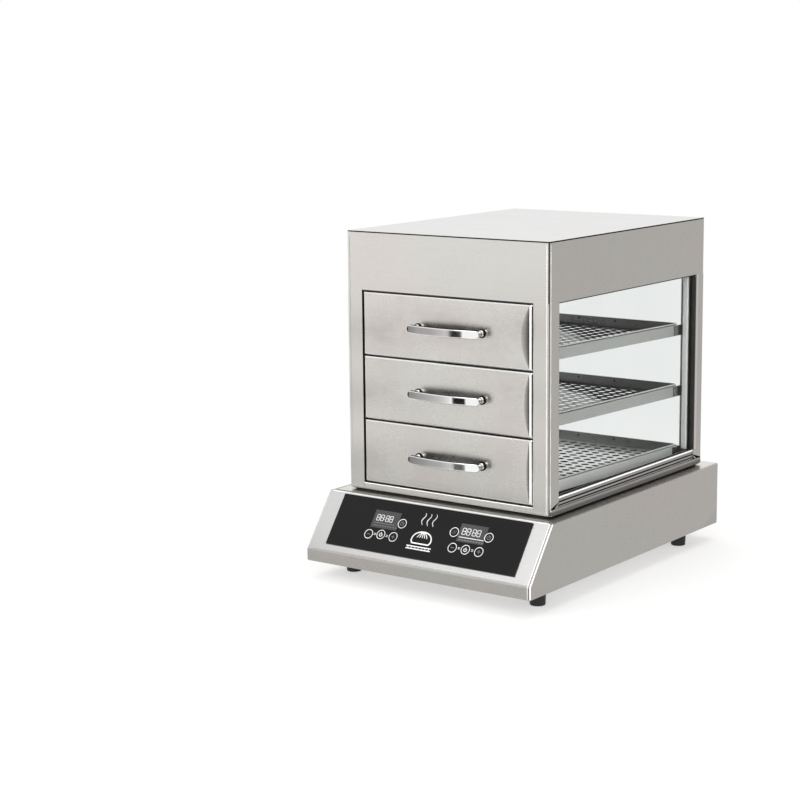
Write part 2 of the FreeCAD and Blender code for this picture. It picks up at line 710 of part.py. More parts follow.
def right_rail():
    return prism_along_y(channel_outline(HALF_CABINET), POST_BACK_Y, REAR_POST_Y)


def rear_rail():
    return prism_along_x(channel_outline(REAR_Y), -HALF_OPENING, HALF_OPENING)


def pane(span_z):
    """The right pane, or the strip below it, between the posts over a span of heights."""
    x1 = HALF_CABINET - GLASS_SETBACK
    return box(x1 - GLASS, x1, POST_BACK_Y + SEAT_GAP, REAR_POST_Y - SEAT_GAP, *span_z)


def rear_pane(span_z):
    y1 = REAR_Y - GLASS_SETBACK
    x = HALF_OPENING - SEAT_GAP
    return box(-x, x, y1 - GLASS, y1, *span_z)


def glass_span():
    return RAIL_TOP_Z + STRIP_HEIGHT, HOOD_Z + GLASS_TUCK


def glazing_strips():
    """The soft strips that the panes stand on in their channels."""
    span = (RAIL_TOP_Z, RAIL_TOP_Z + STRIP_HEIGHT)
    return Part.makeCompound([pane(span), mirrored_x(pane(span)), rear_pane(span)])


# Hood

def hood():
    """The four folded walls of the hood, with a flange below the lid."""
    x = HALF_CABINET
    z1 = HOOD_TOP_Z - SHEET - HOOD_SEAM
    wall = box(-x, x, FRONT_Y, REAR_Y, HOOD_Z, z1)
    inside = box(SHEET - x, x - SHEET, FRONT_Y + SHEET, REAR_Y - SHEET, HOOD_Z - SHEET, z1 - SHEET)
    flange = HOOD_FLANGE
    opening = box(flange - x, x - flange, FRONT_Y + flange, REAR_Y - flange, HOOD_Z, HOOD_TOP_Z)
    return wall.cut(inside).cut(opening)


def hood_top():
    """The lid of the hood, a plate with a stiffening return that stands inside the walls."""
    z0 = HOOD_TOP_Z - SHEET
    plate = box(-HALF_CABINET, HALF_CABINET, FRONT_Y, REAR_Y, z0, HOOD_TOP_Z)
    inset = HOOD_FLANGE + SEAT_GAP
    x = HALF_CABINET - inset
    y0 = FRONT_Y + inset
    y1 = REAR_Y - inset
    drop = z0 - LID_RETURN
    ring = box(-x, x, y0, y1, drop, z0)
    ring = ring.cut(box(SHEET - x, x - SHEET, y0 + SHEET, y1 - SHEET, drop - SHEET, z0))
    return plate.fuse(ring).removeSplitter()


def hood_liner():
    """The inner ceiling, ridged along the middle so that drops run to the sides."""
    x = HALF_CABINET - SHEET - SEAT_GAP
    z0 = HOOD_Z + POST_TONGUE + SEAT_GAP
    y0 = FRONT_Y + SHEET + SEAT_GAP
    y1 = REAR_Y - SHEET - SEAT_GAP
    ridge = z0 + HOOD_LINER_RISE
    outline = [(-x, z0), (0, ridge), (x, z0), (x, z0 + SHEET), (0, ridge + SHEET), (-x, z0 + SHEET)]
    return prism_along_y(outline, y0, y1)


# Drawers

def front_bottom_z(tier):
    """The lower edge of a drawer front. Tier 0 is the lowest."""
    return RAIL_TOP_Z + GAP_AT_RAIL + tier * (FRONT_HEIGHT + GAP_BETWEEN_FRONTS)


def tray_bottom_z(tier):
    return front_bottom_z(tier) + TRAY_LIFT


def lean(shape, tier):
    """Turns what is built level so that it falls to the back with the runners."""
    leaning = shape.copy()
    leaning.rotate(Vector(0, FRONT_BACK_Y, tray_bottom_z(tier)), RIGHT, -RUNNER_FALL_DEG)
    return leaning


def drawer_front(tier):
    """A folded pan: a flat face with rolled edges and four returns, open to the back."""
    x = FRONT_WIDTH / 2
    z0 = front_bottom_z(tier)
    z1 = z0 + FRONT_HEIGHT
    panel = box(-x, x, FRONT_FACE_Y, FRONT_BACK_Y, z0, z1)
    panel = panel.makeFillet(FRONT_BEND_RADIUS, edges_at(panel, lambda c, b: same(c.y, FRONT_FACE_Y)))
    hollow = box(SHEET - x, x - SHEET, FRONT_FACE_Y + SHEET, FRONT_BACK_Y - SHEET, z0 + SHEET, z1 - SHEET)
    panel = panel.cut(hollow)
    lip = FRONT_RETURN
    opening = box(lip - x, x - lip, FRONT_BACK_Y - 2 * SHEET, FRONT_BACK_Y + SHEET, z0 + lip, z1 - lip)
    panel = panel.cut(opening)
    for x in handle_holes():
        start = Vector(x, FRONT_FACE_Y - SHEET, handle_z(tier))
        panel = panel.cut(hole(HANDLE_SCREW_DIAMETER / 2 + SEAT_GAP, start, BACK, 3 * SHEET))
    return panel


def tray_block(inset, z0, z1):
    """A block inside the outline of the tray, with its two rear corners rounded."""
    x = TRAY_WIDTH / 2 - inset
    solid = box(-x, x, FRONT_BACK_Y + TRAY_FRONT_GAP + inset, TRAY_REAR_Y - inset, z0, z1)
    rear = upright_edges(solid, lambda px, py: same(py, TRAY_REAR_Y - inset))
    return solid.makeFillet(TRAY_CORNER_RADIUS - inset, rear)


def hem_fold():
    """How far the hem of the tray reaches in from the outer face of its walls."""
    return SHEET + TRAY_HEM / 3


def tray(tier):
    """The ring of the tray: four walls with a hemmed rim and an inward ledge below."""
    z0 = tray_bottom_z(tier)
    top = z0 + TRAY_HEIGHT
    body = tray_block(0, z0, top).cut(tray_block(hem_fold(), z0 + SHEET, top + SHEET))
    body = body.cut(tray_block(SHEET, z0 + SHEET, top - TRAY_HEM))
    edge = TRAY_WIDTH / 2 - TRAY_LEDGE
    y0 = FRONT_BACK_Y + TRAY_FRONT_GAP + TRAY_LEDGE
    body = body.cut(box(-edge, edge, y0, TRAY_REAR_Y - TRAY_LEDGE, z0 - SHEET, z0 + 2 * SHEET))
    return lean(body, tier).fuse(tray_brackets(tier))


def tray_brackets(tier):
    """Two welded tabs that join the front wall of the tray to the drawer front."""
    z0 = tray_bottom_z(tier) + BRACKET_LIFT
    half = BRACKET_WIDTH / 2
    y0 = FRONT_FACE_Y + SHEET
    y1 = FRONT_BACK_Y + TRAY_FRONT_GAP + SHEET / 2
    solids = []
    for x in (-BRACKET_SPREAD, BRACKET_SPREAD):
        tab = box(x - half, x + half, y0, y1, z0, z0 + SHEET)
        upright = box(x - half, x + half, y0, y0 + SHEET, z0, z0 + BRACKET_HEIGHT)
        solids.append(tab.fuse(upright))
    return solids


def perforated_floor(tier):
    """The sheet that the buns stand on, with its grid of holes."""
    z0 = tray_bottom_z(tier) + SHEET
    inset = hem_fold() + SEAT_GAP
    plate = tray_block(inset, z0, z0 + FLOOR_SHEET)
    outline = plate.BoundBox
    columns = int((outline.XLength - 2 * HOLE_BORDER) / HOLE_PITCH) + 1
    rows = int((outline.YLength - 2 * HOLE_BORDER) / HOLE_PITCH) + 1
    half = HOLE_DIAMETER * math.sqrt(math.pi) / 4
    cutters = []
    for column in range(columns):
        for row in range(rows):
            x = outline.Center.x + (column - (columns - 1) / 2) * HOLE_PITCH
            y = outline.Center.y + (row - (rows - 1) / 2) * HOLE_PITCH
            cutters.append(box(x - half, x + half, y - half, y + half, z0 - SHEET, z0 + 2 * SHEET))
    return lean(plate.cut(Part.makeCompound(cutters)), tier)


def handle_z(tier):
    return front_bottom_z(tier) + FRONT_HEIGHT / 2 + HANDLE_ABOVE_MIDDLE


def handle_holes():
    """Where the two screws of a handle are, along X."""
    return HANDLE_OFFSET - HANDLE_CENTRES / 2, HANDLE_OFFSET + HANDLE_CENTRES / 2


def bow_radius():
    half = HANDLE_LENGTH / 2
    return (half * half + HANDLE_BOW * HANDLE_BOW) / (2 * HANDLE_BOW)


def bowed_strip(z0):
    """The strap of a handle before its ends are rounded, bent in short flats."""
    centre_y = FRONT_FACE_Y - HANDLE_REACH + bow_radius()
    reach = math.asin(HANDLE_LENGTH / 2 / bow_radius())
    turns = [reach * (2 * i / HANDLE_FLATS - 1) for i in range(HANDLE_FLATS + 1)]
    outline = []
    for radius, row in ((bow_radius(), turns), (bow_radius() - HANDLE_THICKNESS, reversed(turns))):
        for turn in row:
            x = HANDLE_OFFSET + radius * math.sin(turn)
            outline.append(Vector(x, centre_y - radius * math.cos(turn), z0))
    return prism(outline, Vector(0, 0, HANDLE_HEIGHT))


def handle(tier):
    """A bowed flat strap with rounded ends on two turned feet."""
    radius = bow_radius()
    front_y = FRONT_FACE_Y - HANDLE_REACH
    centre_y = front_y + radius
    z = handle_z(tier)
    z0 = z - HANDLE_HEIGHT / 2
    end = HANDLE_LENGTH / 2 - HANDLE_HEIGHT / 2
    depth = HANDLE_BOW + 2 * HANDLE_THICKNESS
    start_y = front_y - HANDLE_THICKNESS
    ends = (HANDLE_OFFSET - end, HANDLE_OFFSET + end)
    limit = box(*ends, start_y, start_y + depth, z0, z0 + HANDLE_HEIGHT)
    for x in ends:
        start = Vector(x, start_y, z)
        limit = limit.fuse(flat_sided(HANDLE_HEIGHT / 2, FOOT_SIDES, start, BACK, depth))
    strap = bowed_strip(z0).common(limit)
    bore = HANDLE_SCREW_DIAMETER / 2 + SEAT_GAP / 2
    across = HANDLE_CENTRES / 2
    back_y = centre_y - math.sqrt((radius - HANDLE_THICKNESS / 2) ** 2 - across * across)
    for x in handle_holes():
        strap = strap.fuse(bar(HANDLE_FOOT_DIAMETER / 2, Vector(x, back_y, z), BACK, FRONT_FACE_Y - back_y))
        start = Vector(x, FRONT_FACE_Y - HANDLE_BORE_DEPTH, z)
        strap = strap.cut(hole(bore, start, BACK, 2 * HANDLE_BORE_DEPTH))
    return strap


def handle_screws(tier):
    """The two screws that hold the handle from inside the drawer front."""
    solids = []
    for x in handle_holes():
        tip = Vector(x, FRONT_FACE_Y - HANDLE_SCREW_BITE, handle_z(tier))
        screw = bar(HANDLE_SCREW_DIAMETER / 2, tip, BACK, HANDLE_SCREW_BITE + SHEET)
        head = Vector(x, FRONT_FACE_Y + SHEET, handle_z(tier))
        solids.append(screw.fuse(bar(HANDLE_SCREW_HEAD / 2, head, BACK, HANDLE_SCREW_HEAD_HEIGHT)))
    return Part.makeCompound(solids)


def right_runner(tier):
    """An angle between the posts: an upright leg beside the tray and a ledge below it."""
    z0 = tray_bottom_z(tier) - SEAT_GAP
    x0 = HALF_OPENING
    y0 = POST_BACK_Y - RUNNER_LEG
    y1 = REAR_POST_Y + RUNNER_LEG
    leg = box(x0, x0 + SHEET, y0, y1, z0 - SHEET, z0 + RUNNER_LEG)
    ledge = box(x0 - RUNNER_LEDGE, x0 + SHEET, y0, y1, z0 - SHEET, z0)
    angle = lean(leg.fuse(ledge).removeSplitter(), tier)
    return angle.common(box(0, HALF_CABINET, POST_BACK_Y, REAR_POST_Y, 0, HOOD_TOP_Z))


os.makedirs("parts", exist_ok=True)
save("base_shell", base_shell())
save("base_floor", base_floor())
for place, (foot_x, foot_y) in foot_places().items():
    save("foot_" + place, foot(foot_x, foot_y))
save("foot_screws", foot_screws())
save("control_panel", control_panel())
save("display_left", display(-1))
save("display_right", display(1))
save("control_board", control_board())
save("board_standoffs", board_standoffs())
save("water_pan", water_pan())
save("heater_left", heater(-1))
save("heater_right", heater(1))
save("port_nuts", port_nuts())
save("boil_dry_probe", boil_dry_probe())
save("power_board", power_board())
save("relays", relays())
save("terminal_block", terminal_block())
save("cable_gland", cable_gland())
save("plinth_frame", plinth_frame())
save("plinth_seal", plinth_seal())
save("post_front_right", front_right_post())
save("post_front_left", mirrored_x(front_right_post()))
save("post_rear_right", rear_right_post())
save("post_rear_left", mirrored_x(rear_right_post()))
save("front_rail", front_rail())
save("head_rail", head_rail())
save("side_rail_right", right_rail())
save("side_rail_left", mirrored_x(right_rail()))
save("rear_rail", rear_rail())
save("glass_right", pane(glass_span()))
save("glass_left", mirrored_x(pane(glass_span())))
save("glass_rear", rear_pane(glass_span()))
save("glazing_strips", glazing_strips())
save("hood", hood())
save("hood_top", hood_top())
save("hood_liner", hood_liner())
for number, label in enumerate(TIER_NAMES):
    save("drawer_front_" + label, drawer_front(number))
    save("tray_" + label, tray(number))
    save("tray_floor_" + label, perforated_floor(number))
    save("handle_" + label, handle(number))
    save("handle_screws_" + label, handle_screws(number))
    save("runner_right_" + label, right_runner(number))
    save("runner_left_" + label, mirrored_x(right_runner(number)))
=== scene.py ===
import json
import math

import bmesh
import bpy
from mathutils import Matrix, Vector, noise

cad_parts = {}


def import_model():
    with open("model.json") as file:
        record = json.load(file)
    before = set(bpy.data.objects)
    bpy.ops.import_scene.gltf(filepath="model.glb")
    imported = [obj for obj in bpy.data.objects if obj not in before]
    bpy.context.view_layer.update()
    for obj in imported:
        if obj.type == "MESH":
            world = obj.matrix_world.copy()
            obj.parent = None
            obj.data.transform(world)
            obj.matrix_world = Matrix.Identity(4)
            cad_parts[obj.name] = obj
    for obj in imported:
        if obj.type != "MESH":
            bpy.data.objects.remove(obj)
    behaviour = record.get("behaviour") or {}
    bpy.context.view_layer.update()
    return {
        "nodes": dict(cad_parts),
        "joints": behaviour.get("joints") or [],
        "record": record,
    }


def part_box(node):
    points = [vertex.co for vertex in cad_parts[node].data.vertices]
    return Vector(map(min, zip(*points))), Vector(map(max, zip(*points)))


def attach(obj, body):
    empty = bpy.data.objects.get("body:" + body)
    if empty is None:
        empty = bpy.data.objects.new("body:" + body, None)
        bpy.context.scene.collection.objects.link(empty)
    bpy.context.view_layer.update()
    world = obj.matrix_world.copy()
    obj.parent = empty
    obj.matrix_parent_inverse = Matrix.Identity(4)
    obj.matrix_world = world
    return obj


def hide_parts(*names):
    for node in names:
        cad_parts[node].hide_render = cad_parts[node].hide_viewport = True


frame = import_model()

# The looks of a counter-top bun steamer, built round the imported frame. All lengths are in metres.
# X runs across the front, Y from the front to the back, Z up.

MM = 0.001


# Places read from the frame

HOOD_LOW, HOOD_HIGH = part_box("hood")
LID_LOW, LID_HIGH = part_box("hood_top")
BASE_LOW, BASE_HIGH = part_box("base_shell")
PANEL_LOW, PANEL_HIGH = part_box("control_panel")
POST_LOW, POST_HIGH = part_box("post_front_right")
PLINTH_LOW, PLINTH_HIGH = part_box("plinth_frame")
TIERS = ("bottom", "middle", "top")
SLIDE = next(joint for joint in frame["joints"] if joint["name"] == "drawer_bottom_slide")
FALL = math.asin(SLIDE["axis"][2])


# Materials

def new_material(name):
    """A material with its Principled shader, and a function that adds and links nodes."""
    material = bpy.data.materials.new(name)
    material.use_nodes = True
    tree = material.node_tree
    shader = tree.nodes["Principled BSDF"]

    def add(kind, settings=None, **inputs):
        node = tree.nodes.new(kind)
        for key, value in (settings or {}).items():
            setattr(node, key, value)
        for key, value in inputs.items():
            socket = node.inputs[int(key[1:])] if key[0] == "i" and key[1:].isdigit() else node.inputs[key]
            if isinstance(value, bpy.types.NodeSocket):
                tree.links.new(value, socket)
            else:
                socket.default_value = value
        return node

    return material, tree, shader, add


def stretched(add, scale):
    """Object coordinates, scaled along each axis."""
    place = add("ShaderNodeTexCoord")
    return add("ShaderNodeMapping", Vector=place.outputs["Object"], Scale=scale).outputs["Vector"]


def noise_field(add, vector, scale, detail=4.0, rough=0.55):
    node = add("ShaderNodeTexNoise", Vector=vector, Scale=scale, Detail=detail, Roughness=rough)
    return node.outputs["Fac"]


def ramp(add, value, low, high, to_low, to_high):
    node = add("ShaderNodeMapRange", Value=value)
    for socket, number in zip(node.inputs[1:5], (low, high, to_low, to_high)):
        socket.default_value = number
    return node.outputs["Result"]


def steel(name, colour, rough, grain, cloud, streak=0.1, bump=0.02, metal=1.0, edge=1.0):
    """Sheet steel: fine lines along one axis, and cloudy wiping marks.

    grain is how dense the lines are along X, Y and Z; cloud is how strong the marks are."""
    material, tree, shader, add = new_material(name)
    lines = noise_field(add, stretched(add, grain), 1.0, 6.0, 0.65)
    marks = noise_field(add, stretched(add, (1, 1, 1)), 14.0, 5.0, 0.6)
    spots = noise_field(add, stretched(add, (1, 1, 1.6)), 55.0, 3.0, 0.6)
    tone = add("ShaderNodeMath", {"operation": "MULTIPLY_ADD"}, i0=marks, i1=0.75, i2=0.0).outputs[0]
    tone = add("ShaderNodeMath", {"operation": "MULTIPLY_ADD"}, i0=spots, i1=0.25, i2=tone).outputs[0]
    shade = ramp(add, tone, 0.3, 0.7, 1.0 - cloud, 1.0 + cloud)
    line_shade = ramp(add, lines, 0.25, 0.75, 1.0 - streak * 0.4, 1.0 + streak * 0.4)
    both = add("ShaderNodeMath", {"operation": "MULTIPLY"}, i0=shade, i1=line_shade).outputs[0]
    drift = ramp(add, noise_field(add, stretched(add, (1, 1, 1)), 7.0, 3.0, 0.5), 0.4, 0.6, 0.0, 1.0)
    warm = tuple(c * f for c, f in zip(colour, (1.012, 0.99, 0.992))) + (1,)
    cool = tuple(c * f for c, f in zip(colour, (0.985, 1.004, 0.992))) + (1,)
    hue = add("ShaderNodeMix", {"data_type": "RGBA"}, i0=drift, i6=warm, i7=cool).outputs[2]
    tint = add("ShaderNodeVectorMath", {"operation": "SCALE"}, i0=hue)
    tree.links.new(both, tint.inputs["Scale"])
    tree.links.new(tint.outputs["Vector"], shader.inputs["Base Color"])
    shader.inputs["Metallic"].default_value = metal
    shader.inputs["Specular Tint"].default_value = (edge, edge, edge, 1)
    rough_marks = ramp(add, tone, 0.3, 0.7, rough * (1 - 2 * cloud), rough * (1 + 2 * cloud))
    rough_lines = ramp(add, lines, 0.25, 0.75, -streak * rough, streak * rough)
    total = add("ShaderNodeMath", {"operation": "ADD"}, i0=rough_marks, i1=rough_lines).outputs[0]
    tree.links.new(total, shader.inputs["Roughness"])
    bumps = add("ShaderNodeBump", Height=lines, Strength=bump, Distance=0.0004)
    tree.links.new(bumps.outputs["Normal"], shader.inputs["Normal"])
    return material


def glass_material():
    """Clear pane: glass that lets lamps through, so that what is behind it is lit."""
    material, tree, shader, add = new_material("pane_glass")
    smears = ramp(add, noise_field(add, stretched(add, (1, 1, 0.5)), 9.0, 4.0, 0.6), 0.4, 0.7, 1.0, 0.975)
    tint = add("ShaderNodeVectorMath", {"operation": "SCALE"}, i0=(0.915, 0.93, 0.925))
    tree.links.new(smears, tint.inputs["Scale"])
    tree.links.new(tint.outputs["Vector"], shader.inputs["Base Color"])
    shader.inputs["Transmission Weight"].default_value = 1.0
    shader.inputs["IOR"].default_value = 1.15
    shader.inputs["Roughness"].default_value = 0.0
    clear = add("ShaderNodeBsdfTransparent", Color=(0.95, 0.97, 0.96, 1))
    path = add("ShaderNodeLightPath")
    mix = add("ShaderNodeMixShader", Fac=path.outputs["Is Shadow Ray"])
    tree.links.new(shader.outputs[0], mix.inputs[1])
    tree.links.new(clear.outputs[0], mix.inputs[2])
    tree.links.new(mix.outputs[0], tree.nodes["Material Output"].inputs["Surface"])
    return material


def coated(name, colour, rough, grain_scale, bump, vary=0.15, gloss=0.5):
    """Plastic, rubber or lacquer: an even colour with a fine grain and a little wear in its gloss."""
    material, tree, shader, add = new_material(name)
    grain = noise_field(add, stretched(add, (1, 1, 1)), grain_scale, 3.0, 0.5)
    wear = noise_field(add, stretched(add, (1, 1, 1)), grain_scale / 40, 4.0, 0.6)
    tint = add("ShaderNodeVectorMath", {"operation": "SCALE"}, i0=colour)
    tree.links.new(ramp(add, wear, 0.3, 0.7, 1 - vary, 1 + vary), tint.inputs["Scale"])
    tree.links.new(tint.outputs["Vector"], shader.inputs["Base Color"])
    tree.links.new(ramp(add, wear, 0.3, 0.7, rough * (1 - vary), rough * (1 + vary)), shader.inputs["Roughness"])
    shader.inputs["Specular IOR Level"].default_value = gloss
    bumps = add("ShaderNodeBump", Height=grain, Strength=bump, Distance=0.0003)
    tree.links.new(bumps.outputs["Normal"], shader.inputs["Normal"])
    return material


def floor_steel(name, shade_from):
    """Perforated sheet, pale at the front as painted light and dark behind a line across it as painted shade; a bottom
    floor stays pale all over.
    """
    material, tree, shader, add = new_material(name)
    place = add("ShaderNodeTexCoord").outputs["Object"]
    parts = add("ShaderNodeSeparateXYZ", Vector=place)
    along = add("ShaderNodeMath", {"operation": "MULTIPLY_ADD"}, i0=parts.outputs["X"], i1=0.78,
                i2=parts.outputs["Y"]).outputs[0]
    cloud = noise_field(add, stretched(add, (1, 1, 1)), 22.0, 4.0, 0.6)
    shifted = add("ShaderNodeMath", {"operation": "MULTIPLY_ADD"}, i0=cloud, i1=0.1, i2=along).outputs[0]
    # painted shade behind the line, its edge blurred by the cloud noise; painted light in front of it
    painted_dark = ramp(add, shifted, shade_from + 0.035, shade_from + 0.065, 0.0, 1.0)
    tone = ramp(add, painted_dark, 0.0, 1.0, 0.92 if shade_from > 0.5 else 0.86, 0.15)
    speck = ramp(add, noise_field(add, stretched(add, (1, 1, 1)), 240.0, 3.0, 0.6), 0.3, 0.7, 0.88, 1.12)
    both = add("ShaderNodeMath", {"operation": "MULTIPLY"}, i0=tone, i1=speck).outputs[0]
    tint = add("ShaderNodeVectorMath", {"operation": "SCALE"}, i0=(1.0, 1.0, 0.985))
    tree.links.new(both, tint.inputs["Scale"])
    tree.links.new(tint.outputs["Vector"], shader.inputs["Base Color"])
    # the pale front of the top and middle floors is also less metallic, with a weak edge tint
    if shade_from > 0.5:
        shader.inputs["Metallic"].default_value = 1.0
    else:
        tree.links.new(ramp(add, painted_dark, 0.0, 1.0, 0.6, 1.0), shader.inputs["Metallic"])
        shader.inputs["Specular Tint"].default_value = (0.1, 0.1, 0.1, 1)
    tree.links.new(ramp(add, cloud, 0.3, 0.7, 0.24, 0.34), shader.inputs["Roughness"])
    return material


def front_steel_with_painted_shade(tier):
    """The satin steel of a drawer front, with painted shade across the soft fall beside its right rim."""
    name = "front_" + tier
    material = steel(name, (0.70, 0.675, 0.645), 0.27, ACROSS, 0.09, 0.05, 0.008)
    tree = material.node_tree
    shader = next(node for node in tree.nodes if node.type == "BSDF_PRINCIPLED")
    low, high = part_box("drawer_front_" + tier)
    half_z = (high.z - low.z) / 2
    rim = high.x - RIM

    def maths(kind, first, second, clamp=False):
        node = tree.nodes.new("ShaderNodeMath")
        node.operation = kind
        node.use_clamp = clamp
        for socket, value in zip(node.inputs, (first, second)):
            if isinstance(value, (int, float)):
                socket.default_value = value
            else:
                tree.links.new(value, socket)
        return node.outputs[0]

    parts = tree.nodes.new("ShaderNodeSeparateXYZ")
    tree.links.new(tree.nodes.new("ShaderNodeTexCoord").outputs["Object"], parts.inputs[0])
    across, up = parts.outputs["X"], parts.outputs["Z"]
    tall = maths("DIVIDE", maths("SUBTRACT", up, (low.z + high.z) / 2), 0.94 * half_z)
    bulge = maths("SUBTRACT", 1.0, maths("MULTIPLY", tall, tall), True)
    reach = maths("MULTIPLY", bulge, LENS[tier])
    inside = maths("SUBTRACT", across, maths("SUBTRACT", rim, reach))
    share = maths("DIVIDE", inside, maths("MAXIMUM", reach, 0.0002), True)
    # painted shade: the colour darkens towards the rim across the fall, widest at mid height
    depth = maths("MULTIPLY", maths("POWER", share, 0.6), maths("LESS_THAN", across, rim))
    kept = maths("SUBTRACT", 1.0, maths("MULTIPLY", depth, 0.93))
    shade = tree.nodes.new("ShaderNodeVectorMath")
    shade.operation = "SCALE"
    link = shader.inputs["Base Color"].links[0]
    tree.links.new(link.from_socket, shade.inputs[0])
    tree.links.new(kept, shade.inputs["Scale"])
    tree.links.new(shade.outputs[0], shader.inputs["Base Color"])
    return material


LENS = {"bottom": 5.0 * MM, "middle": 9.0 * MM, "top": 14.0 * MM}
RIM = 6.1 * MM
SATIN = (0.70, 0.68, 0.655)
ACROSS = (3, 900, 900)
ALONG = (900, 3, 900)
UPRIGHT = (900, 900, 3)
M = {
    "satin_steel": steel("satin_steel", SATIN, 0.28, ACROSS, 0.02, 0.05, 0.008),
    "post_steel": steel("post_steel", SATIN, 0.26, UPRIGHT, 0.02, 0.05, 0.006),
    "drawer_steel": steel("drawer_steel", (0.675, 0.65, 0.62), 0.27, ACROSS, 0.075, 0.06, 0.01),
    # painted shade: a darker, greyer copy of the base steel for its sloping face, a fold and the left edge
    "slope_steel": steel("slope_steel", (0.645, 0.645, 0.645), 0.26, ACROSS, 0.02, 0.05, 0.008),
    # painted light: the lid's steel is a touch lighter and cooler than the sides, as if lit from the sky
    "lid_steel": steel("lid_steel", (0.70, 0.705, 0.72), 0.28, ACROSS, 0.02, 0.05, 0.006),
    "tray_steel": steel("tray_steel", (0.60, 0.60, 0.59), 0.17, ALONG, 0.04, 0.06, 0.01),
    "rail_grey": steel("rail_grey", (0.50, 0.50, 0.49), 0.16, ALONG, 0.08, 0.08, 0.01),
    "bar_shade": steel("bar_shade", (0.24, 0.24, 0.235), 0.2, ALONG, 0.05, 0.06, 0.0),
    # painted shade: a dark copy of steel for the returns of the drawer fronts, dark in the gaps between them
    "painted_shade_return": steel("painted_shade_return", (0.26, 0.255, 0.245), 0.3, ACROSS, 0.05, 0.06, 0.008, edge=0.5),
    # painted highlight: a pale coat for the strip beside a drawer front's right rim and for the right-hand corner beads
    "painted_rim_highlight": coated("painted_rim_highlight", (0.78, 0.77, 0.75), 0.3, 900, 0.05, vary=0.04),
    # painted shade: a darker copy of the polished steel for the rounded crown of the plinth bar
    "bar_crown_painted_shade": steel("bar_crown_painted_shade", (0.46, 0.46, 0.45), 0.2, ALONG, 0.05, 0.06, 0.0),
    # painted light: a lighter copy of the runner band for the bottom tier
    "band_low_painted_light": steel("band_low_painted_light", (0.86, 0.86, 0.85), 0.36, ALONG, 0.04, 0.06, 0.01, metal=0.45),
    # painted dark reflection: a dark brown copy of steel for the middle of the rounded front corners
    "painted_corner_shade": steel("painted_corner_shade", (0.10, 0.085, 0.075), 0.4, UPRIGHT, 0.2, 0.1, 0.0),
    "tray_band": steel("tray_band", (0.52, 0.52, 0.51), 0.38, ALONG, 0.04, 0.06, 0.01, metal=0.45),
    # painted shade: a near-black steel for the water pan, dark under the bottom tray
    "pan_painted_shade": steel("pan_painted_shade", (0.05, 0.05, 0.049), 0.5, ALONG, 0.1, 0.1, 0.01, edge=0.1),
    # painted shade: a dark copy of the tray steel for the faces of a tray that look inwards
    "tray_inside_painted_shade": steel("tray_inside_painted_shade", (0.27, 0.27, 0.267), 0.3, ACROSS, 0.09, 0.12, 0.01, edge=0.6),
    # the tray floors: pale at the front as painted light and dark behind as painted shade; the bottom one pale all over
    "floor_top": floor_steel("floor_top", 0.118),
    "floor_middle": floor_steel("floor_middle", 0.138),
    "floor_bottom": floor_steel("floor_bottom", 0.9),
    # painted shade: a near-black coat for the posts' reveals at the rear panes and for strips on the posts
    "charcoal": coated("charcoal", (0.032, 0.031, 0.030), 0.45, 1400, 0.2),
    # painted highlight: a pale copy of the steel for edges and strips where light catches them
    "painted_highlight_steel": steel("painted_highlight_steel", (0.86, 0.86, 0.85), 0.16, ALONG, 0.02, 0.03, 0.0),
    # painted shade and painted dark reflection: a near-black copy of the steel for edges, bands and strips
    "painted_shade_steel": steel("painted_shade_steel", (0.03, 0.03, 0.03), 0.35, ALONG, 0.1, 0.1, 0.0, edge=0.2),
    "polished_steel": steel("polished_steel", (0.66, 0.66, 0.65), 0.12, ALONG, 0.05, 0.06, 0.01),
    "print_white": coated("print_white", (0.88, 0.88, 0.87), 0.45, 1500, 0.05, vary=0.08),
    # painted highlight: a near-white coat for beads and lines that stand for bright reflections on steel
    "bead_pale": coated("bead_pale", (0.97, 0.97, 0.96), 0.3, 900, 0.05, vary=0.03),
    "print_grey": coated("print_grey", (0.16, 0.16, 0.16), 0.5, 1500, 0.05, vary=0.08),
    "heater_steel": steel("heater_steel", (0.42, 0.40, 0.36), 0.42, ALONG, 0.25),
    "screw_steel": steel("screw_steel", (0.6, 0.6, 0.59), 0.28, UPRIGHT, 0.08),
    "handle_chrome": steel("handle_chrome", (0.90, 0.90, 0.895), 0.035, ACROSS, 0.01, 0.02, 0.0),
    "clear_glass": glass_material(),
    "panel_black": coated("panel_black", (0.005, 0.005, 0.0055), 0.16, 900, 0.01, vary=0.08, gloss=0.2),
    "display_grey": coated("display_grey", (0.055, 0.055, 0.058), 0.2, 900, 0.01, vary=0.1, gloss=0.3),
    "board_green": coated("board_green", (0.03, 0.16, 0.07), 0.38, 1500, 0.1),
    "relay_plastic": coated("relay_plastic", (0.05, 0.09, 0.2), 0.5, 1800, 0.15),
    "gland_plastic": coated("gland_plastic", (0.02, 0.02, 0.02), 0.5, 1800, 0.15),
    "foot_rubber": coated("foot_rubber", (0.012, 0.012, 0.012), 0.6, 1600, 0.35),
    "seal_rubber": coated("seal_rubber", (0.012, 0.012, 0.012), 0.55, 1600, 0.3),
}


for tier in TIERS:
    M["front_" + tier] = front_steel_with_painted_shade(tier)


def paint(obj, material):
    obj.data.materials.clear()
    obj.data.materials.append(material)


for part in frame["record"]["subparts"]:
    paint(frame["nodes"][part["node"]], M[part["material_slot"]])


# Mesh helpers

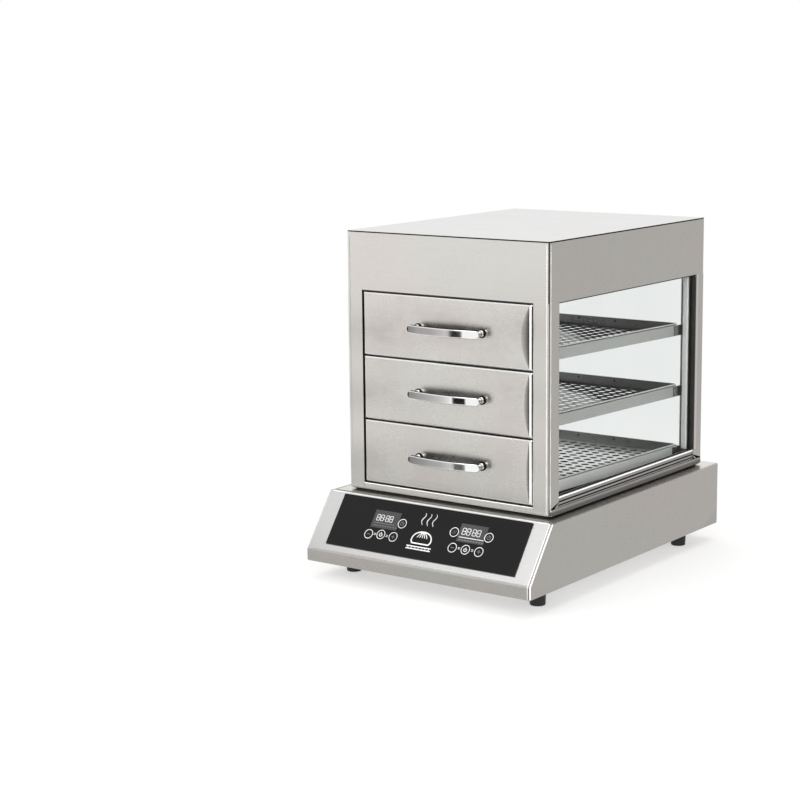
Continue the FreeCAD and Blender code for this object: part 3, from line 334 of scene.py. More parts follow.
def new_piece(name, bm, material, body, flat_below=35.0, weighted=True):
    """Turns a bmesh into a piece that rides on a body, smooth but for its sharp edges."""
    limit = math.radians(flat_below)
    for face in bm.faces:
        face.smooth = True
    for edge in bm.edges:
        edge.smooth = len(edge.link_faces) == 2 and edge.calc_face_angle(0.0) < limit
    mesh = bpy.data.meshes.new(name)
    bm.to_mesh(mesh)
    bm.free()
    obj = bpy.data.objects.new(name, mesh)
    bpy.context.scene.collection.objects.link(obj)
    mesh.materials.append(M[material])
    if weighted:
        modifier = obj.modifiers.new("even_normals", "WEIGHTED_NORMAL")
        modifier.keep_sharp = True
        modifier.weight = 100
    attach(obj, body)
    return obj


def body_of(node):
    return next(name for name, nodes in frame["record"]["behaviour"]["bodies"].items() if node in nodes)


def dressed(node, material, width, segments=2, bends=(), tinted=()):
    """The node's own shape with eased edges.

    bends are (test on an edge, radius) for its folds, and tinted are (test on a face, material)."""
    bm = bmesh.new()
    bm.from_mesh(frame["nodes"][node].data)
    bmesh.ops.remove_doubles(bm, verts=bm.verts, dist=1e-6)
    bmesh.ops.dissolve_limit(bm, angle_limit=math.radians(1), verts=bm.verts, edges=bm.edges)

    def sharp_edges():
        return [e for e in bm.edges if len(e.link_faces) == 2 and e.calc_face_angle(0.0) > math.radians(35)]

    for test, radius in bends:
        folds = [e for e in sharp_edges() if test((e.verts[0].co + e.verts[1].co) / 2, e)]
        bmesh.ops.bevel(bm, geom=folds, offset=radius, segments=4, profile=0.5, affect="EDGES", clamp_overlap=True)
    bmesh.ops.bevel(bm, geom=sharp_edges(), offset=width, segments=segments, profile=0.5, affect="EDGES",
                    clamp_overlap=True)
    for face in bm.faces:
        middle = face.calc_center_median()
        face.material_index = next((n + 1 for n, (test, _) in enumerate(tinted) if test(middle, face)), 0)
    obj = new_piece(node + "_skin", bm, material, body_of(node))
    for _, other in tinted:
        obj.data.materials.append(M[other])
    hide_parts(node)
    return obj


def rounded_ring(bm, half_x, half_y, corner, z, centre=(0, 0), steps=5):
    """The points of a rounded rectangle at one height."""
    corner = max(corner, 1e-5)
    points = []
    for quarter, (sx, sy) in enumerate(((1, 1), (-1, 1), (-1, -1), (1, -1))):
        for step in range(steps + 1):
            angle = math.pi / 2 * (quarter + step / steps)
            x = centre[0] + sx * (half_x - corner) + corner * math.cos(angle)
            y = centre[1] + sy * (half_y - corner) + corner * math.sin(angle)
            points.append(bm.verts.new((x, y, z)))
    return points


def bridge(bm, first, second, closed=True):
    """Quads between two rows of points."""
    count = len(first)
    for i in range(count if closed else count - 1):
        j = (i + 1) % count
        bm.faces.new((first[i], first[j], second[j], second[i]))


def arc(centre, radius, start, end, steps):
    """Points on a circle in a plane, from one angle to another in degrees."""
    points = []
    for step in range(steps + 1):
        angle = math.radians(start + (end - start) * step / steps)
        points.append((centre[0] + radius * math.cos(angle), centre[1] + radius * math.sin(angle)))
    return points


def lathe(name, outline, base, axis, material, body, sides=32, shaded=()):
    """A turned piece: outline is (radius, distance along the axis); shaded are the bands in the near-black steel of
    painted shade and painted dark reflection.
    """
    bm = bmesh.new()
    turn = Vector((0, 0, 1)).rotation_difference(Vector(axis)).to_matrix().to_4x4()
    rings = []
    for radius, along in outline:
        ring = []
        for side in range(sides):
            angle = 2 * math.pi * side / sides
            ring.append(bm.verts.new((radius * math.cos(angle), radius * math.sin(angle), along)))
        rings.append(ring)
    for number, (first, second) in enumerate(zip(rings, rings[1:])):
        known = len(bm.faces)
        bridge(bm, first, second)
        bm.faces.ensure_lookup_table()
        for face in bm.faces[known:]:
            face.material_index = int(number in shaded)
    bm.faces.new(list(reversed(rings[0])))
    bm.faces.new(rings[-1])
    bmesh.ops.transform(bm, matrix=Matrix.Translation(base) @ turn, verts=bm.verts)
    obj = new_piece(name, bm, material, body)
    if shaded:
        obj.data.materials.append(M["painted_shade_steel"])
    return obj


def tube(name, path, radius, material, body, sides=10):
    """A round bead or wire along a row of points, with closed ends."""
    bm = bmesh.new()
    rings = []
    points = [Vector(p) for p in path]
    for i, point in enumerate(points):
        ahead = points[min(i + 1, len(points) - 1)] - points[max(i - 1, 0)]
        turn = Vector((0, 0, 1)).rotation_difference(ahead.normalized()).to_matrix()
        width = radius(i / (len(points) - 1)) if callable(radius) else radius
        ring = []
        for side in range(sides):
            angle = 2 * math.pi * side / sides
            ring.append(bm.verts.new(point + turn @ Vector((width * math.cos(angle), width * math.sin(angle), 0))))
        rings.append(ring)
    for first, second in zip(rings, rings[1:]):
        bridge(bm, first, second)
    bm.faces.new(list(reversed(rings[0])))
    bm.faces.new(rings[-1])
    return new_piece(name, bm, material, body, 60)


# Sheet metal of the cabinet

def on_outer_corner(low, high):
    """True for an edge along Z at one of the four corners of a box."""
    def test(middle, edge):
        upright = abs((edge.verts[0].co - edge.verts[1].co).normalized().z) > 0.99
        at_x = min(abs(middle.x - low.x), abs(middle.x - high.x)) < 1e-4
        at_y = min(abs(middle.y - low.y), abs(middle.y - high.y)) < 1e-4
        return upright and at_x and at_y
    return test


def side_of_lid(middle, face):
    """The thin side of the lid."""
    return middle.z > LID_HIGH.z - 1.8 * MM and abs(face.normal.z) < 0.5


def edge_of_lid(middle, face):
    """The eased upper edge of the lid."""
    return middle.z > LID_HIGH.z - 1.8 * MM and 0.5 < face.normal.z < 0.98


def front_corner_middle(middle, face):
    """The middle of the rounded front corners."""
    return middle.y < 0 and min(abs(face.normal.x), abs(face.normal.y)) > 0.45


def front_corner_sides(middle, face):
    """The two sides of the rounded front corners."""
    return middle.y < 0 and 0.12 < min(abs(face.normal.x), abs(face.normal.y)) < 0.45


def pane_side_edge(middle, edge):
    """The upright edges of the posts beside the side panes."""
    upright = abs((edge.verts[0].co - edge.verts[1].co).normalized().z) > 0.99
    at_pane = min(abs(middle.y - POST_HIGH.y), abs(middle.y - REAR_POST_LOW.y)) < 1e-4
    return upright and at_pane and abs(abs(middle.x) - POST_HIGH.x) < 1e-4


def pane_side_face(middle, face):
    """The rounding between a post's side and its reveal at the pane."""
    between = POST_HIGH.y - 4 * MM < middle.y < REAR_POST_LOW.y + 4 * MM
    return between and abs(middle.x) > POST_HIGH.x - 4 * MM and 0.1 < abs(face.normal.y) < 0.9


def rear_pane_face(middle, face):
    """The same rounding on the rear posts."""
    return middle.y > 0 and pane_side_face(middle, face)


def post_toe(middle, face):
    """The eased edge of the rounded lower corner of a post."""
    low = middle.z < 144 * MM and abs(middle.x) > POST_HIGH.x - 1.6 * MM
    return low and 0.15 < abs(face.normal.x) < 0.97 and POST_HIGH.y - 10 * MM < middle.y


def slope_face(middle, face):
    return middle.y < CREASE_Y and abs(face.normal.x) < 0.05 and 0.5 < face.normal.z < 0.7


def inside_tray(tier):
    """True for the faces of a tray that look inwards."""
    low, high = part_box("tray_" + tier)

    def test(middle, face):
        deep = min(middle.x - low.x, high.x - middle.x, high.y - middle.y) > 1.2 * MM
        return deep and abs(face.normal.z) < 0.5
    return test


def hem_of_tray(tier):
    """True for the rolled upper rim of a tray."""
    low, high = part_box("tray_" + tier)

    def test(middle, face):
        outside = min(middle.x - low.x, high.x - middle.x, high.y - middle.y) < 2.2 * MM
        return outside and 0.2 < face.normal.z and face.calc_area() < 0.01
    return test


CREASE_Y = -222.0 * MM
REAR_POST_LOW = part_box("post_rear_right")[0]
# painted dark reflection in the middle of each rounded front corner, and painted highlights on its two sides
CORNER_SHADING = [(front_corner_middle, "painted_corner_shade"), (front_corner_sides, "painted_highlight_steel")]
CABINET_FOLDS = [(on_outer_corner(HOOD_LOW, HOOD_HIGH), 2.8 * MM)]
dressed("hood", "satin_steel", 0.5 * MM, bends=CABINET_FOLDS, tinted=CORNER_SHADING)
# painted shade on the lid's thin side and a painted highlight on its eased upper edge
dressed("hood_top", "lid_steel", 0.8 * MM, bends=[(on_outer_corner(LID_LOW, LID_HIGH), 2.8 * MM)],
        tinted=[(side_of_lid, "painted_shade_steel"), (edge_of_lid, "painted_highlight_steel")])
# on the posts: painted shade on the reveals at the rear panes, painted highlights on the roundings at the panes and on
# the eased lower corners
for place in ("front_right", "front_left", "rear_right", "rear_left"):
    dressed("post_" + place, "post_steel", 0.5 * MM, bends=CABINET_FOLDS + [(pane_side_edge, 2.4 * MM)],
            tinted=CORNER_SHADING + [(rear_pane_face, "charcoal"), (pane_side_face, "painted_highlight_steel"), (post_toe, "bead_pale")])
dressed("front_rail", "satin_steel", 0.5 * MM)
for node in ("side_rail_right", "side_rail_left", "rear_rail"):
    dressed(node, "polished_steel", 0.3 * MM)
# the sloping face of the base gets the darker slope steel as painted shade
dressed("base_shell", "satin_steel", 0.5 * MM, tinted=[(slope_face, "slope_steel")])
dressed("control_panel", "panel_black", 0.35 * MM)
# the water pan is painted near-black as painted shade under the bottom tray
paint(frame["nodes"]["water_pan"], M["pan_painted_shade"])
for tier in TIERS:
    # painted shade on the faces of each tray that look inwards, and a painted highlight on its rolled rim
    dressed("tray_" + tier, "tray_steel", 0.35 * MM,
            tinted=[(inside_tray(tier), "tray_inside_painted_shade"), (hem_of_tray(tier), "painted_highlight_steel")])
    for side in ("right", "left"):
        # the bottom tier's runners get the lighter band as painted light
        dressed(f"runner_{side}_{tier}", "band_low_painted_light" if tier == "bottom" else "tray_band", 0.3 * MM)


def strip(name, low, high, ease, material, body, segments=3):
    """A straight trim between two corners, with eased edges."""
    bm = bmesh.new()
    bmesh.ops.create_cube(bm, size=1.0)
    size = Vector(high) - Vector(low)
    bmesh.ops.scale(bm, vec=size, verts=bm.verts)
    bmesh.ops.translate(bm, vec=(Vector(low) + Vector(high)) / 2, verts=bm.verts)
    bmesh.ops.bevel(bm, geom=list(bm.edges), offset=ease, segments=segments if ease < 2 * MM else 8, profile=0.5,
                    affect="EDGES", clamp_overlap=True)
    return new_piece(name, bm, material, body)


def pane_trims():
    """Beside each side pane: a seal, a bead coated near-white as a painted highlight, near-black strips of painted
    shade on the posts, and a dark strip of painted shade under the hood; painted shade and highlight lines at the front
    gap, on the rail and along the sill.
    """
    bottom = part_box("side_rail_right")[1].z
    top = HOOD_LOW.z
    rear = REAR_POST_LOW.y
    front = POST_HIGH.y
    inner = POST_LOW.x
    outer = POST_HIGH.x
    for side, label in ((1, "right"), (-1, "left")):
        def trim(name, x0, x1, y0, y1, ease, material, z0=bottom, z1=top):
            xs = sorted((side * x0, side * x1))
            strip(f"{name}_{label}", (xs[0], y0, z0), (xs[1], y1, z1), ease, material, "cabinet")

        for y, away, place in ((rear, -1, "rear"), (front, 1, "front")):
            seal = sorted((y, y + away * 0.3 * MM))
            bead = sorted((y, y + away * 4.4 * MM))
            trim("pane_seal_" + place, inner + 0.3 * MM, inner + 4.4 * MM, *seal, 0.1 * MM, "rail_grey")
            # a real bead, coated near-white as a painted highlight
            trim("pane_bead_" + place, inner + 4.6 * MM, inner + 13.8 * MM, *bead, 4.1 * MM, "bead_pale")
            # painted shade: a near-black strip on the reveal of the post
            trim("pane_tape_" + place, inner + 13.9 * MM, outer - 0.4 * MM, *seal, 0.1 * MM, "charcoal")
        thin = 0.25 * MM
        # painted shade and a painted highlight: a near-black strip and a pale strip on the post's side beside the pane
        trim("post_shade_strip", outer - 0.3 * MM, outer + thin, rear - 0.25 * MM, rear + 2.2 * MM, 0.1 * MM, "charcoal")
        trim("post_highlight_strip", outer - 0.05 * MM, outer + thin, rear + 2.4 * MM, rear + 9.0 * MM, 0.1 * MM, "painted_highlight_steel")
        # at the front gap beside the right post: a black strip of painted shade and a bright strip of painted highlight
        gap = ((POST_LOW.x - 1.25 * MM, POST_LOW.x - 0.1 * MM), (POST_LOW.x + 0.1 * MM, POST_LOW.x + 1.1 * MM))
        for name, place, proud, material in (("post_gap_shade", gap[0], 0.0, "seal_rubber"),
                                             ("post_gap_highlight", gap[1], 0.15, "painted_highlight_steel")):
            if side == -1:
                continue
            xs = place
            strip(f"{name}_{label}", (xs[0], POST_LOW.y - proud * MM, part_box("drawer_front_bottom")[0].z),
                  (xs[1], POST_LOW.y + 1.5 * MM, HOOD_LOW.z - 0.1 * MM), 0.05 * MM, material, "cabinet")
        # painted shade: a dark strip under the hood's lower edge, above the pane
        trim("hood_edge_shade", outer - 2.0 * MM, outer - 0.2 * MM, front, rear, 0.3 * MM, "seal_rubber",
             top - 1.5 * MM, top - 0.05 * MM)
        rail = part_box("side_rail_right")
        face = rail[1].x
        notch = front - 8.8 * MM
        trim("rail_plate", face - 1.5 * MM, face - 0.05 * MM, notch, front + 0.5 * MM, 0.1 * MM, "polished_steel",
             rail[0].z, rail[1].z)
        # lines along the rail face: a black strip of painted shade at the foot of the glass, a near-white painted
        # highlight, near-black lines of painted shade for a groove and at the foot, and grey strips between
        for name, z0, z1, thick, material in (("glass_foot_shade", 15.0, 16.8, 0.1, "seal_rubber"),
                                              ("rail_highlight", 12.6, 15.0, 1.2, "bead_pale"),
                                              ("rail_groove_shade", 6.4, 8.4, 0.15, "painted_shade_steel"),
                                              ("rail_shade", 8.4, 12.6, 0.1, "rail_grey"),
                                              ("rail_fold", 3.4, 6.4, 0.6, "rail_grey"),
                                              ("rail_foot_shade", 1.2, 3.4, 0.15, "painted_shade_steel")):
            trim(name, face - 0.2 * MM, face + thick * MM, front, rear, min(thick * 0.45, 0.5) * MM, material,
                 rail[0].z + z0 * MM, rail[0].z + z1 * MM)
    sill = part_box("front_rail")[1].z
    # painted highlight: a near-white line along the top of the sill
    strip("sill_highlight", (-inner + 0.3 * MM, POST_LOW.y - 0.2 * MM, sill - 1.5 * MM),
          (inner - 0.3 * MM, POST_LOW.y + 0.1 * MM, sill - 0.1 * MM), 0.05 * MM, "bead_pale", "cabinet")
    front_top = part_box("drawer_front_top")[1].z
    # painted shade: a dark strip in the gap above the top drawer front
    strip("head_gap_shade", (-inner + 0.5 * MM, HOOD_LOW.y + 0.05 * MM, front_top + 0.3 * MM),
          (inner - 0.5 * MM, HOOD_LOW.y + 2.4 * MM, top), 0.2 * MM, "seal_rubber", "cabinet")


pane_trims()


def plinth_bar():
    """The polished bar round the foot of the cabinet, with a smooth bull nose, darker on its crown and underside as
    painted shade.
    """
    nose = 5.0 * MM
    width = 29.0 * MM
    centre = ((PLINTH_LOW.x + PLINTH_HIGH.x) / 2, (PLINTH_LOW.y + PLINTH_HIGH.y) / 2)
    half_x = (PLINTH_HIGH.x - PLINTH_LOW.x) / 2
    half_y = (PLINTH_HIGH.y - PLINTH_LOW.y) / 2
    section = [(-width, PLINTH_LOW.z)]
    section += [(x, z) for x, z in arc((-nose, PLINTH_LOW.z + nose), nose, -90, 0, 8)]
    section += [(x, z) for x, z in arc((-nose, PLINTH_HIGH.z - nose), nose, 0, 90, 8)]
    section += [(-width, PLINTH_HIGH.z)]
    bm = bmesh.new()
    rings = []
    for out, z in section:
        rings.append(rounded_ring(bm, half_x + out, half_y + out, max(6 * MM + out, 0.4 * MM), z, centre))
    for first, second in zip(rings, rings[1:] + rings[:1]):
        bridge(bm, first, second)
    bmesh.ops.recalc_face_normals(bm, faces=bm.faces)
    # painted shade: faces turned down get the dark bar steel, the rounded crown a darker grey; the top stays polished
    for face in bm.faces:
        if face.normal.z < 0.4:
            face.material_index = 1
        elif face.normal.z < 0.97:
            face.material_index = 2
    bar = new_piece("plinth_bar", bm, "polished_steel", "cabinet")
    bar.data.materials.append(M["bar_shade"])
    bar.data.materials.append(M["bar_crown_painted_shade"])
    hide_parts("plinth_frame")


plinth_bar()


# Beads along the welded corners and the edges of the base, with painted highlights and painted shade

def inset(path, depth):
    """The (Y, Z) path moved inwards, to its right-hand side."""
    moved = []
    for i, point in enumerate(path):
        ahead = Vector(path[min(i + 1, len(path) - 1)]) - Vector(path[max(i - 1, 0)])
        ahead.normalize()
        moved.append((point[0] - ahead.y * depth, point[1] + ahead.x * depth))
    return moved


def corner_beads():
    """Two beads beside the seam of each front corner of the cabinet, coated pale as a painted highlight on the right,
    plain post steel on the left.
    """
    bottom = PLINTH_HIGH.z - 6 * MM
    top = LID_LOW.z + 2 * MM
    count = 60
    for side, label in ((1, "right"), (-1, "left")):
        for place, x, y, radius in (("front", POST_HIGH.x - 4.3 * MM, HOOD_LOW.y + 0.25 * MM, 0.65 * MM),
                                    ("side", POST_HIGH.x - 0.2 * MM, HOOD_LOW.y + 4.0 * MM, 0.55 * MM)):
            path = []
            for i in range(count + 1):
                z = bottom + (top - bottom) * i / count
                shift = 0.35 * MM * noise.noise(Vector((z * 60, x * 40, y * 40)))
                path.append((side * (x + shift), y + (shift if place == "side" else 0), z))

            def width(share, thick=radius, seed=x + y):
                return thick * (1 + 0.3 * noise.noise(Vector((share * 40, seed * 90, 1.7))))
            # painted highlight: the right-hand beads are pale, the left-hand ones plain steel
            tone = "painted_rim_highlight" if side == 1 else "post_steel"
            tube(f"corner_bead_{place}_{label}", path, width, tone, "cabinet", sides=8)


def base_beads():
    """Beads along the edges of the base: on the right a pale edge and a pale weld line as painted highlights with a
    dark line of painted shade inside them, on the left a plain steel edge.
    """
    slope_top = (-220.9 * MM, BASE_HIGH.z)
    edge = [slope_top, (-222.3 * MM, 121.6 * MM), (-278.0 * MM, 46.5 * MM),
            (BASE_LOW.y, 43.5 * MM), (BASE_LOW.y, BASE_LOW.z + 1.5 * MM)]
    for side, label in ((1, "right"), (-1, "left")):
        x = BASE_HIGH.x
        for name, at, radius, material in (("edge", x - 0.35 * MM, 0.95 * MM, "bead_pale"),
                                           ("line", x - 2.5 * MM, 0.55 * MM, "bar_shade"),
                                           ("weld", x - 4.6 * MM, 0.5 * MM, "bead_pale")):
            if side == -1 and name != "edge":
                continue
            # the left edge stays plain steel; the right one carries the painted highlight
            if side == -1:
                material = "slope_steel"
            path = [(side * at, y, z) for y, z in (inset(edge, 0.3 * MM) if name == "edge" else edge)]
            tube(f"base_{name}_{label}", path, radius, material, "cabinet", sides=8)
        side_top = [(side * (x - 2.2 * MM), y, BASE_HIGH.z) for y in (slope_top[0], BASE_HIGH.y - 3 * MM)]
        tube(f"base_fold_{label}", side_top, 0.45 * MM, "rail_grey", "cabinet", sides=8)
    reach = BASE_HIGH.x - 5.5 * MM
    # across the front: a fold at the lip in the slope steel, a painted highlight along the crease of the slope and a
    # line of painted shade on the ledge
    for name, y, z, radius, material in (("lip_fold", -277.9 * MM, 45.9 * MM, 1.1 * MM, "slope_steel"),
                                         ("slope_fold", -221.7 * MM, 122.0 * MM, 0.7 * MM, "bead_pale"),
                                         ("ledge_line", -214.5 * MM, 122.1 * MM, 0.8 * MM, "bar_shade")):
        tube(name, [(-reach, y, z), (reach, y, z)], radius, material, "cabinet", sides=8)


corner_beads()
base_beads()


# Prints on the control panel

SLOPE = math.radians(53.4)
DOWN = Vector((0, -math.cos(SLOPE), -math.sin(SLOPE)))
OUT = Vector((0, -math.sin(SLOPE), math.cos(SLOPE)))
CREASE = Vector((0, CREASE_Y, BASE_HIGH.z))
PANEL_FACE = max((v.co - CREASE).dot(OUT) for v in frame["nodes"]["control_panel"].data.vertices)
LEFT_EDGE = -175.0


def on_panel(across, down, above=0.0):
    """A place on the panel, in millimetres across from the cabinet's left side and down from the crease."""
    return CREASE + Vector(((across + LEFT_EDGE) * MM, 0, 0)) + DOWN * down * MM + OUT * (PANEL_FACE + above * MM)


class Prints:
    """Thin raised marks of one colour."""

    def __init__(self):
        self.bm = bmesh.new()

    def sheet(self, points):
        """A flat mark with an outline of (across, down)."""
        top = [self.bm.verts.new(on_panel(a, d, 0.12)) for a, d in points]
        foot = [self.bm.verts.new(on_panel(a, d, -0.05)) for a, d in points]
        self.bm.faces.new(top)
        bridge(self.bm, foot, top)

    def box(self, a0, d0, a1, d1):
        self.sheet([(a0, d0), (a1, d0), (a1, d1), (a0, d1)])

    def line(self, points, width):
        """A line of even width through a row of places."""
        places = [Vector(p) for p in points]
        for first, second in zip(places, places[1:]):
            along = (second - first).normalized() * width / 2
            across = Vector((-along.y, along.x))
            ends = (first - along * 0.5, second + along * 0.5)
            self.sheet([ends[0] - across, ends[1] - across, ends[1] + across, ends[0] + across])

    def ring(self, across, down, radius, width, start=0, end=360):
        steps = max(6, int((end - start) / 12))
        outer = arc((across, down), radius, start, end, steps)
        inner = arc((across, down), radius - width, start, end, steps)
        for i in range(steps):
            self.sheet([outer[i], outer[i + 1], inner[i + 1], inner[i]])

    def finish(self, name, material):
        bmesh.ops.recalc_face_normals(self.bm, faces=self.bm.faces)
        new_piece(name, self.bm, material, "cabinet", 30, weighted=False)


def digits(prints, across, down, high, width, line):
    """Four eights with a colon, as on a clock that hasn't been set."""
    gap = width * 0.42
    for number in range(4):
        a = across + number * (width + gap) + (gap * 0.9 if number > 1 else 0)
        for d in (down, down + high / 2, down + high):
            prints.line([(a + line * 0.6, d), (a + width - line * 0.6, d)], line)
        for side in (a, a + width):
            prints.line([(side, down + line * 0.6), (side, down + high / 2 - line * 0.6)], line)
            prints.line([(side, down + high / 2 + line * 0.6), (side, down + high - line * 0.6)], line)
    middle = across + 2 * width + 1.45 * gap
    for share in (0.3, 0.7):
        prints.box(middle - line * 0.6, down + high * share - line * 0.6, middle + line * 0.6, down + high * share + line * 0.6)


def wave(prints, across, down, tall, sway, width):
    """One curl of steam."""
    points = [(across + sway * math.sin(2 * math.pi * i / 16 + 0.5), down + tall * i / 16) for i in range(17)]
    for i, (first, second) in enumerate(zip(points, points[1:])):
        prints.line([first, second], width * (0.45 + 0.55 * math.sin(math.pi * (i + 0.5) / 16)))


def bun_sign(prints, across, down):
    """A plain sign of a bun on a rack."""
    dome = [(across + 17.0 * math.cos(t), down - 14.5 * abs(math.sin(t)) ** 0.8) for t in
            (math.radians(a) for a in range(0, 181, 10))]
    prints.line(dome, 1.9)
    prints.line([(across - 17, down), (across - 14.5, down + 4), (across + 14.5, down + 4), (across + 17, down)], 1.9)
    for lean in (-8.5, -4.2, 0.0, 4.2, 8.5):
        prints.line([(across + lean * 0.2, down - 14.0), (across + lean * 0.75, down - 9.5), (across + lean, down - 5.5)], 1.0)
    for row in (9.0, 13.0):
        prints.line([(across - 21, down + row), (across + 21, down + row)], 1.5)
    for post in range(-3, 4):
        prints.line([(across + post * 6, down + 9.0), (across + post * 6, down + 13.0)], 1.0)


def key_signs(bright, dull, across, down, kind):
    """One touch key: a ring with a plain sign in it."""
    bright.ring(across, down, 7.3, 0.85)
    if kind == "plus":
        dull.line([(across - 2.6, down), (across + 2.6, down)], 1.0)
        dull.line([(across, down - 2.6), (across, down + 2.6)], 1.0)
    if kind == "minus":
        dull.line([(across - 2.6, down), (across + 2.6, down)], 1.0)
    if kind == "power":
        bright.ring(across, down + 0.4, 2.9, 0.9, -50, 230)
        bright.line([(across, down - 3.2), (across, down)], 0.9)
    if kind == "clock":
        dull.ring(across, down, 3.4, 0.8)
        dull.line([(across, down - 2.0), (across, down), (across + 1.6, down)], 0.7)
    if kind == "heat":
        for shift in (-2.2, 0, 2.2):
            wave(dull, across + shift, down - 3, 6, 0.7, 0.8)


def panel_prints():
    """All the marks of the panel: two clusters of keys with a display each, steam and a bun between them."""
    bright = Prints()
    dull = Prints()
    for across, down, kind in ((220.5, 34.8, "heat"), (279.5, 34.7, "clock"), (226.5, 58.3, "minus"),
                               (248.9, 58.0, "power"), (271.7, 58.0, "plus"), (129.0, 35.1, "clock"),
                               (78.2, 59.0, "minus"), (99.6, 56.8, "power"), (121.8, 57.4, "plus")):
        key_signs(bright, dull, across, down, kind)
    for across in (237.8, 260.3, 88.9, 110.7):
        for down in (56.6, 58.6):
            bright.line([(across - 1.6, down), (across + 1.6, down)], 0.7)
    digits(bright, 233.5, 26.4, 9.6, 5.4, 0.75)
    digits(bright, 82.0, 26.8, 9.0, 5.0, 0.7)
    bright.line([(231.0, 40.6), (272.5, 40.6)], 0.9)
    dull.line([(80.0, 39.6), (117.0, 39.6)], 0.8)
    for number in range(9):
        place = 232.0 + number * 4.8
        dull.line([(place, 44.6), (place + 2.6, 44.6)], 1.6)
        dull.line([(place - 150.5, 43.6), (place - 148.3, 43.6)], 1.2)
    for number in range(3):
        wave(bright, 162.0 + number * 9.6, 13.5, 18.5, 2.0, 1.25)
    bun_sign(bright, 171.0, 57.0)
    bright.finish("panel_prints_white", "print_white")
    dull.finish("panel_prints_grey", "print_grey")


panel_prints()


# Drawers

def front_depth(x, z, half_x, half_z, lens, seed):
    """How far the face of a front stands back at a point: crowned, with a soft fall beside its right rim."""
    rim = half_x - RIM
    u = x / half_x
    v = z / half_z
    y = -0.4 * MM * (1 - u ** 4) * (1 - v ** 4)
    bulge = max(0.0, 1 - (v / 0.9) ** 2)
    reach = lens * bulge
    if reach > 0.2 * MM and rim - reach < x < rim + 0.1 * MM:
        part = min(1.0, (x - rim + reach) / reach)
        y += lens * 0.16 * bulge * part ** 2
    return y + 0.12 * MM * noise.noise(Vector((x * 9, z * 13, seed)))


def spread_out(half, fine, roll, breaks=()):
    """Places across a front, close together at the rolled edges."""
    edge = half - roll
    places = {round(edge * sign, 7) for sign in (-1, 1)}
    for step in range(14):
        places.add(round(-edge + fine * step, 7))
        places.add(round(edge - fine * step, 7))
    count = 30
    span = edge - fine * 14
    places.update(round(-span + 2 * span * i / count, 7) for i in range(count + 1))
    places.update(round(b, 7) for b in breaks)
    ordered = sorted(places)
    kept = [ordered[0]]
    for place in ordered[1:]:
        if place - kept[-1] > 0.12 * MM or place in breaks:
            kept.append(place)
    kept[-1] = round(edge, 7)
    return kept


def drawer_face(tier, lens):
    """A folded front: a slightly crowned face, rolled edges, four returns and an inward lip at the back.

    lens is how wide the soft fall beside the right rim is at its middle."""
    low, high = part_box("drawer_front_" + tier)
    half_x = (high.x - low.x) / 2
    half_z = (high.z - low.z) / 2
    middle_z = (high.z + low.z) / 2
    roll = 3.0 * MM
    lip = 9.0 * MM
    deep = high.y - low.y
    rim = round(half_x - RIM, 7)
    columns = spread_out(half_x, 0.9 * MM, roll, (rim, rim + 0.25 * MM))
    rows = spread_out(half_z, 0.9 * MM, roll)
    bm = bmesh.new()
    grid = []
    for z in rows:
        row = []
        for x in columns:
            y = low.y + 0.4 * MM + front_depth(x, z, half_x, half_z, lens, len(tier) * 3.1)
            row.append(bm.verts.new((x, y, middle_z + z)))
        grid.append(row)
    for first, second in zip(grid, grid[1:]):
        bridge(bm, first, second, closed=False)
    # painted highlight: the strip beyond the right rim gets the pale rim coat
    for face in bm.faces:
        if face.calc_center_median().x > rim + 0.3 * MM:
            face.material_index = 3
    previous = grid[0] + [row[-1] for row in grid[1:-1]] + list(reversed(grid[-1]))
    previous += [row[0] for row in reversed(grid[1:-1])]
    places = [(v.co.x, v.co.z - middle_z, v.co.y) for v in previous]
    edge_x = half_x - roll
    edge_z = half_z - roll
    steps = [(roll * math.sin(math.radians(a)), roll * (1 - math.cos(math.radians(a)))) for a in range(15, 91, 15)]
    steps += [(roll, deep - 1.0 * MM), (roll - 0.4 * MM, deep - 0.1 * MM), (roll - 1.2 * MM, deep), (roll - lip, deep)]
    for number, (out, back) in enumerate(steps):
        ring = []
        for x, z, y in places:
            nx = pushed(x, edge_x, out)
            nz = pushed(z, edge_z, out)
            fade = max(0.0, 1 - back / (4 * MM))
            ring.append(bm.verts.new((nx, low.y + back + (y - low.y) * fade, middle_z + nz)))
        known = len(bm.faces)
        bridge(bm, previous, ring)
        bm.faces.ensure_lookup_table()
        # the rolled edges get a painted highlight where they face up and painted shade where they face down; the
        # returns get dark steel as painted shade in the gaps
        for face in bm.faces[known:]:
            rolled = number < 3
            face.material_index = 1 if rolled and face.normal.z > -0.3 else 2 if rolled else 4
        previous = ring
    bmesh.ops.recalc_face_normals(bm, faces=bm.faces)
    front = new_piece("drawer_face_" + tier, bm, "front_" + tier, "drawer_" + tier, 50)
    front.data.materials.append(M["painted_highlight_steel"])
    front.data.materials.append(M["painted_shade_steel"])
    front.data.materials.append(M["painted_rim_highlight"])
    front.data.materials.append(M["painted_shade_return"])
    sheet = front.modifiers.new("sheet", "SOLIDIFY")
    sheet.thickness = 1.2 * MM
    sheet.offset = -1
    front.modifiers.move(1, 0)
    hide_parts("drawer_front_" + tier)


def pushed(place, edge, out):
    """Moves a place on the border outwards, or keeps it inside a smaller border."""
    if out < 0:
        return max(-edge - out, min(edge + out, place))
    if abs(place - edge) < 1e-7:
        return place + out
    if abs(place + edge) < 1e-7:
        return place - out
    return place


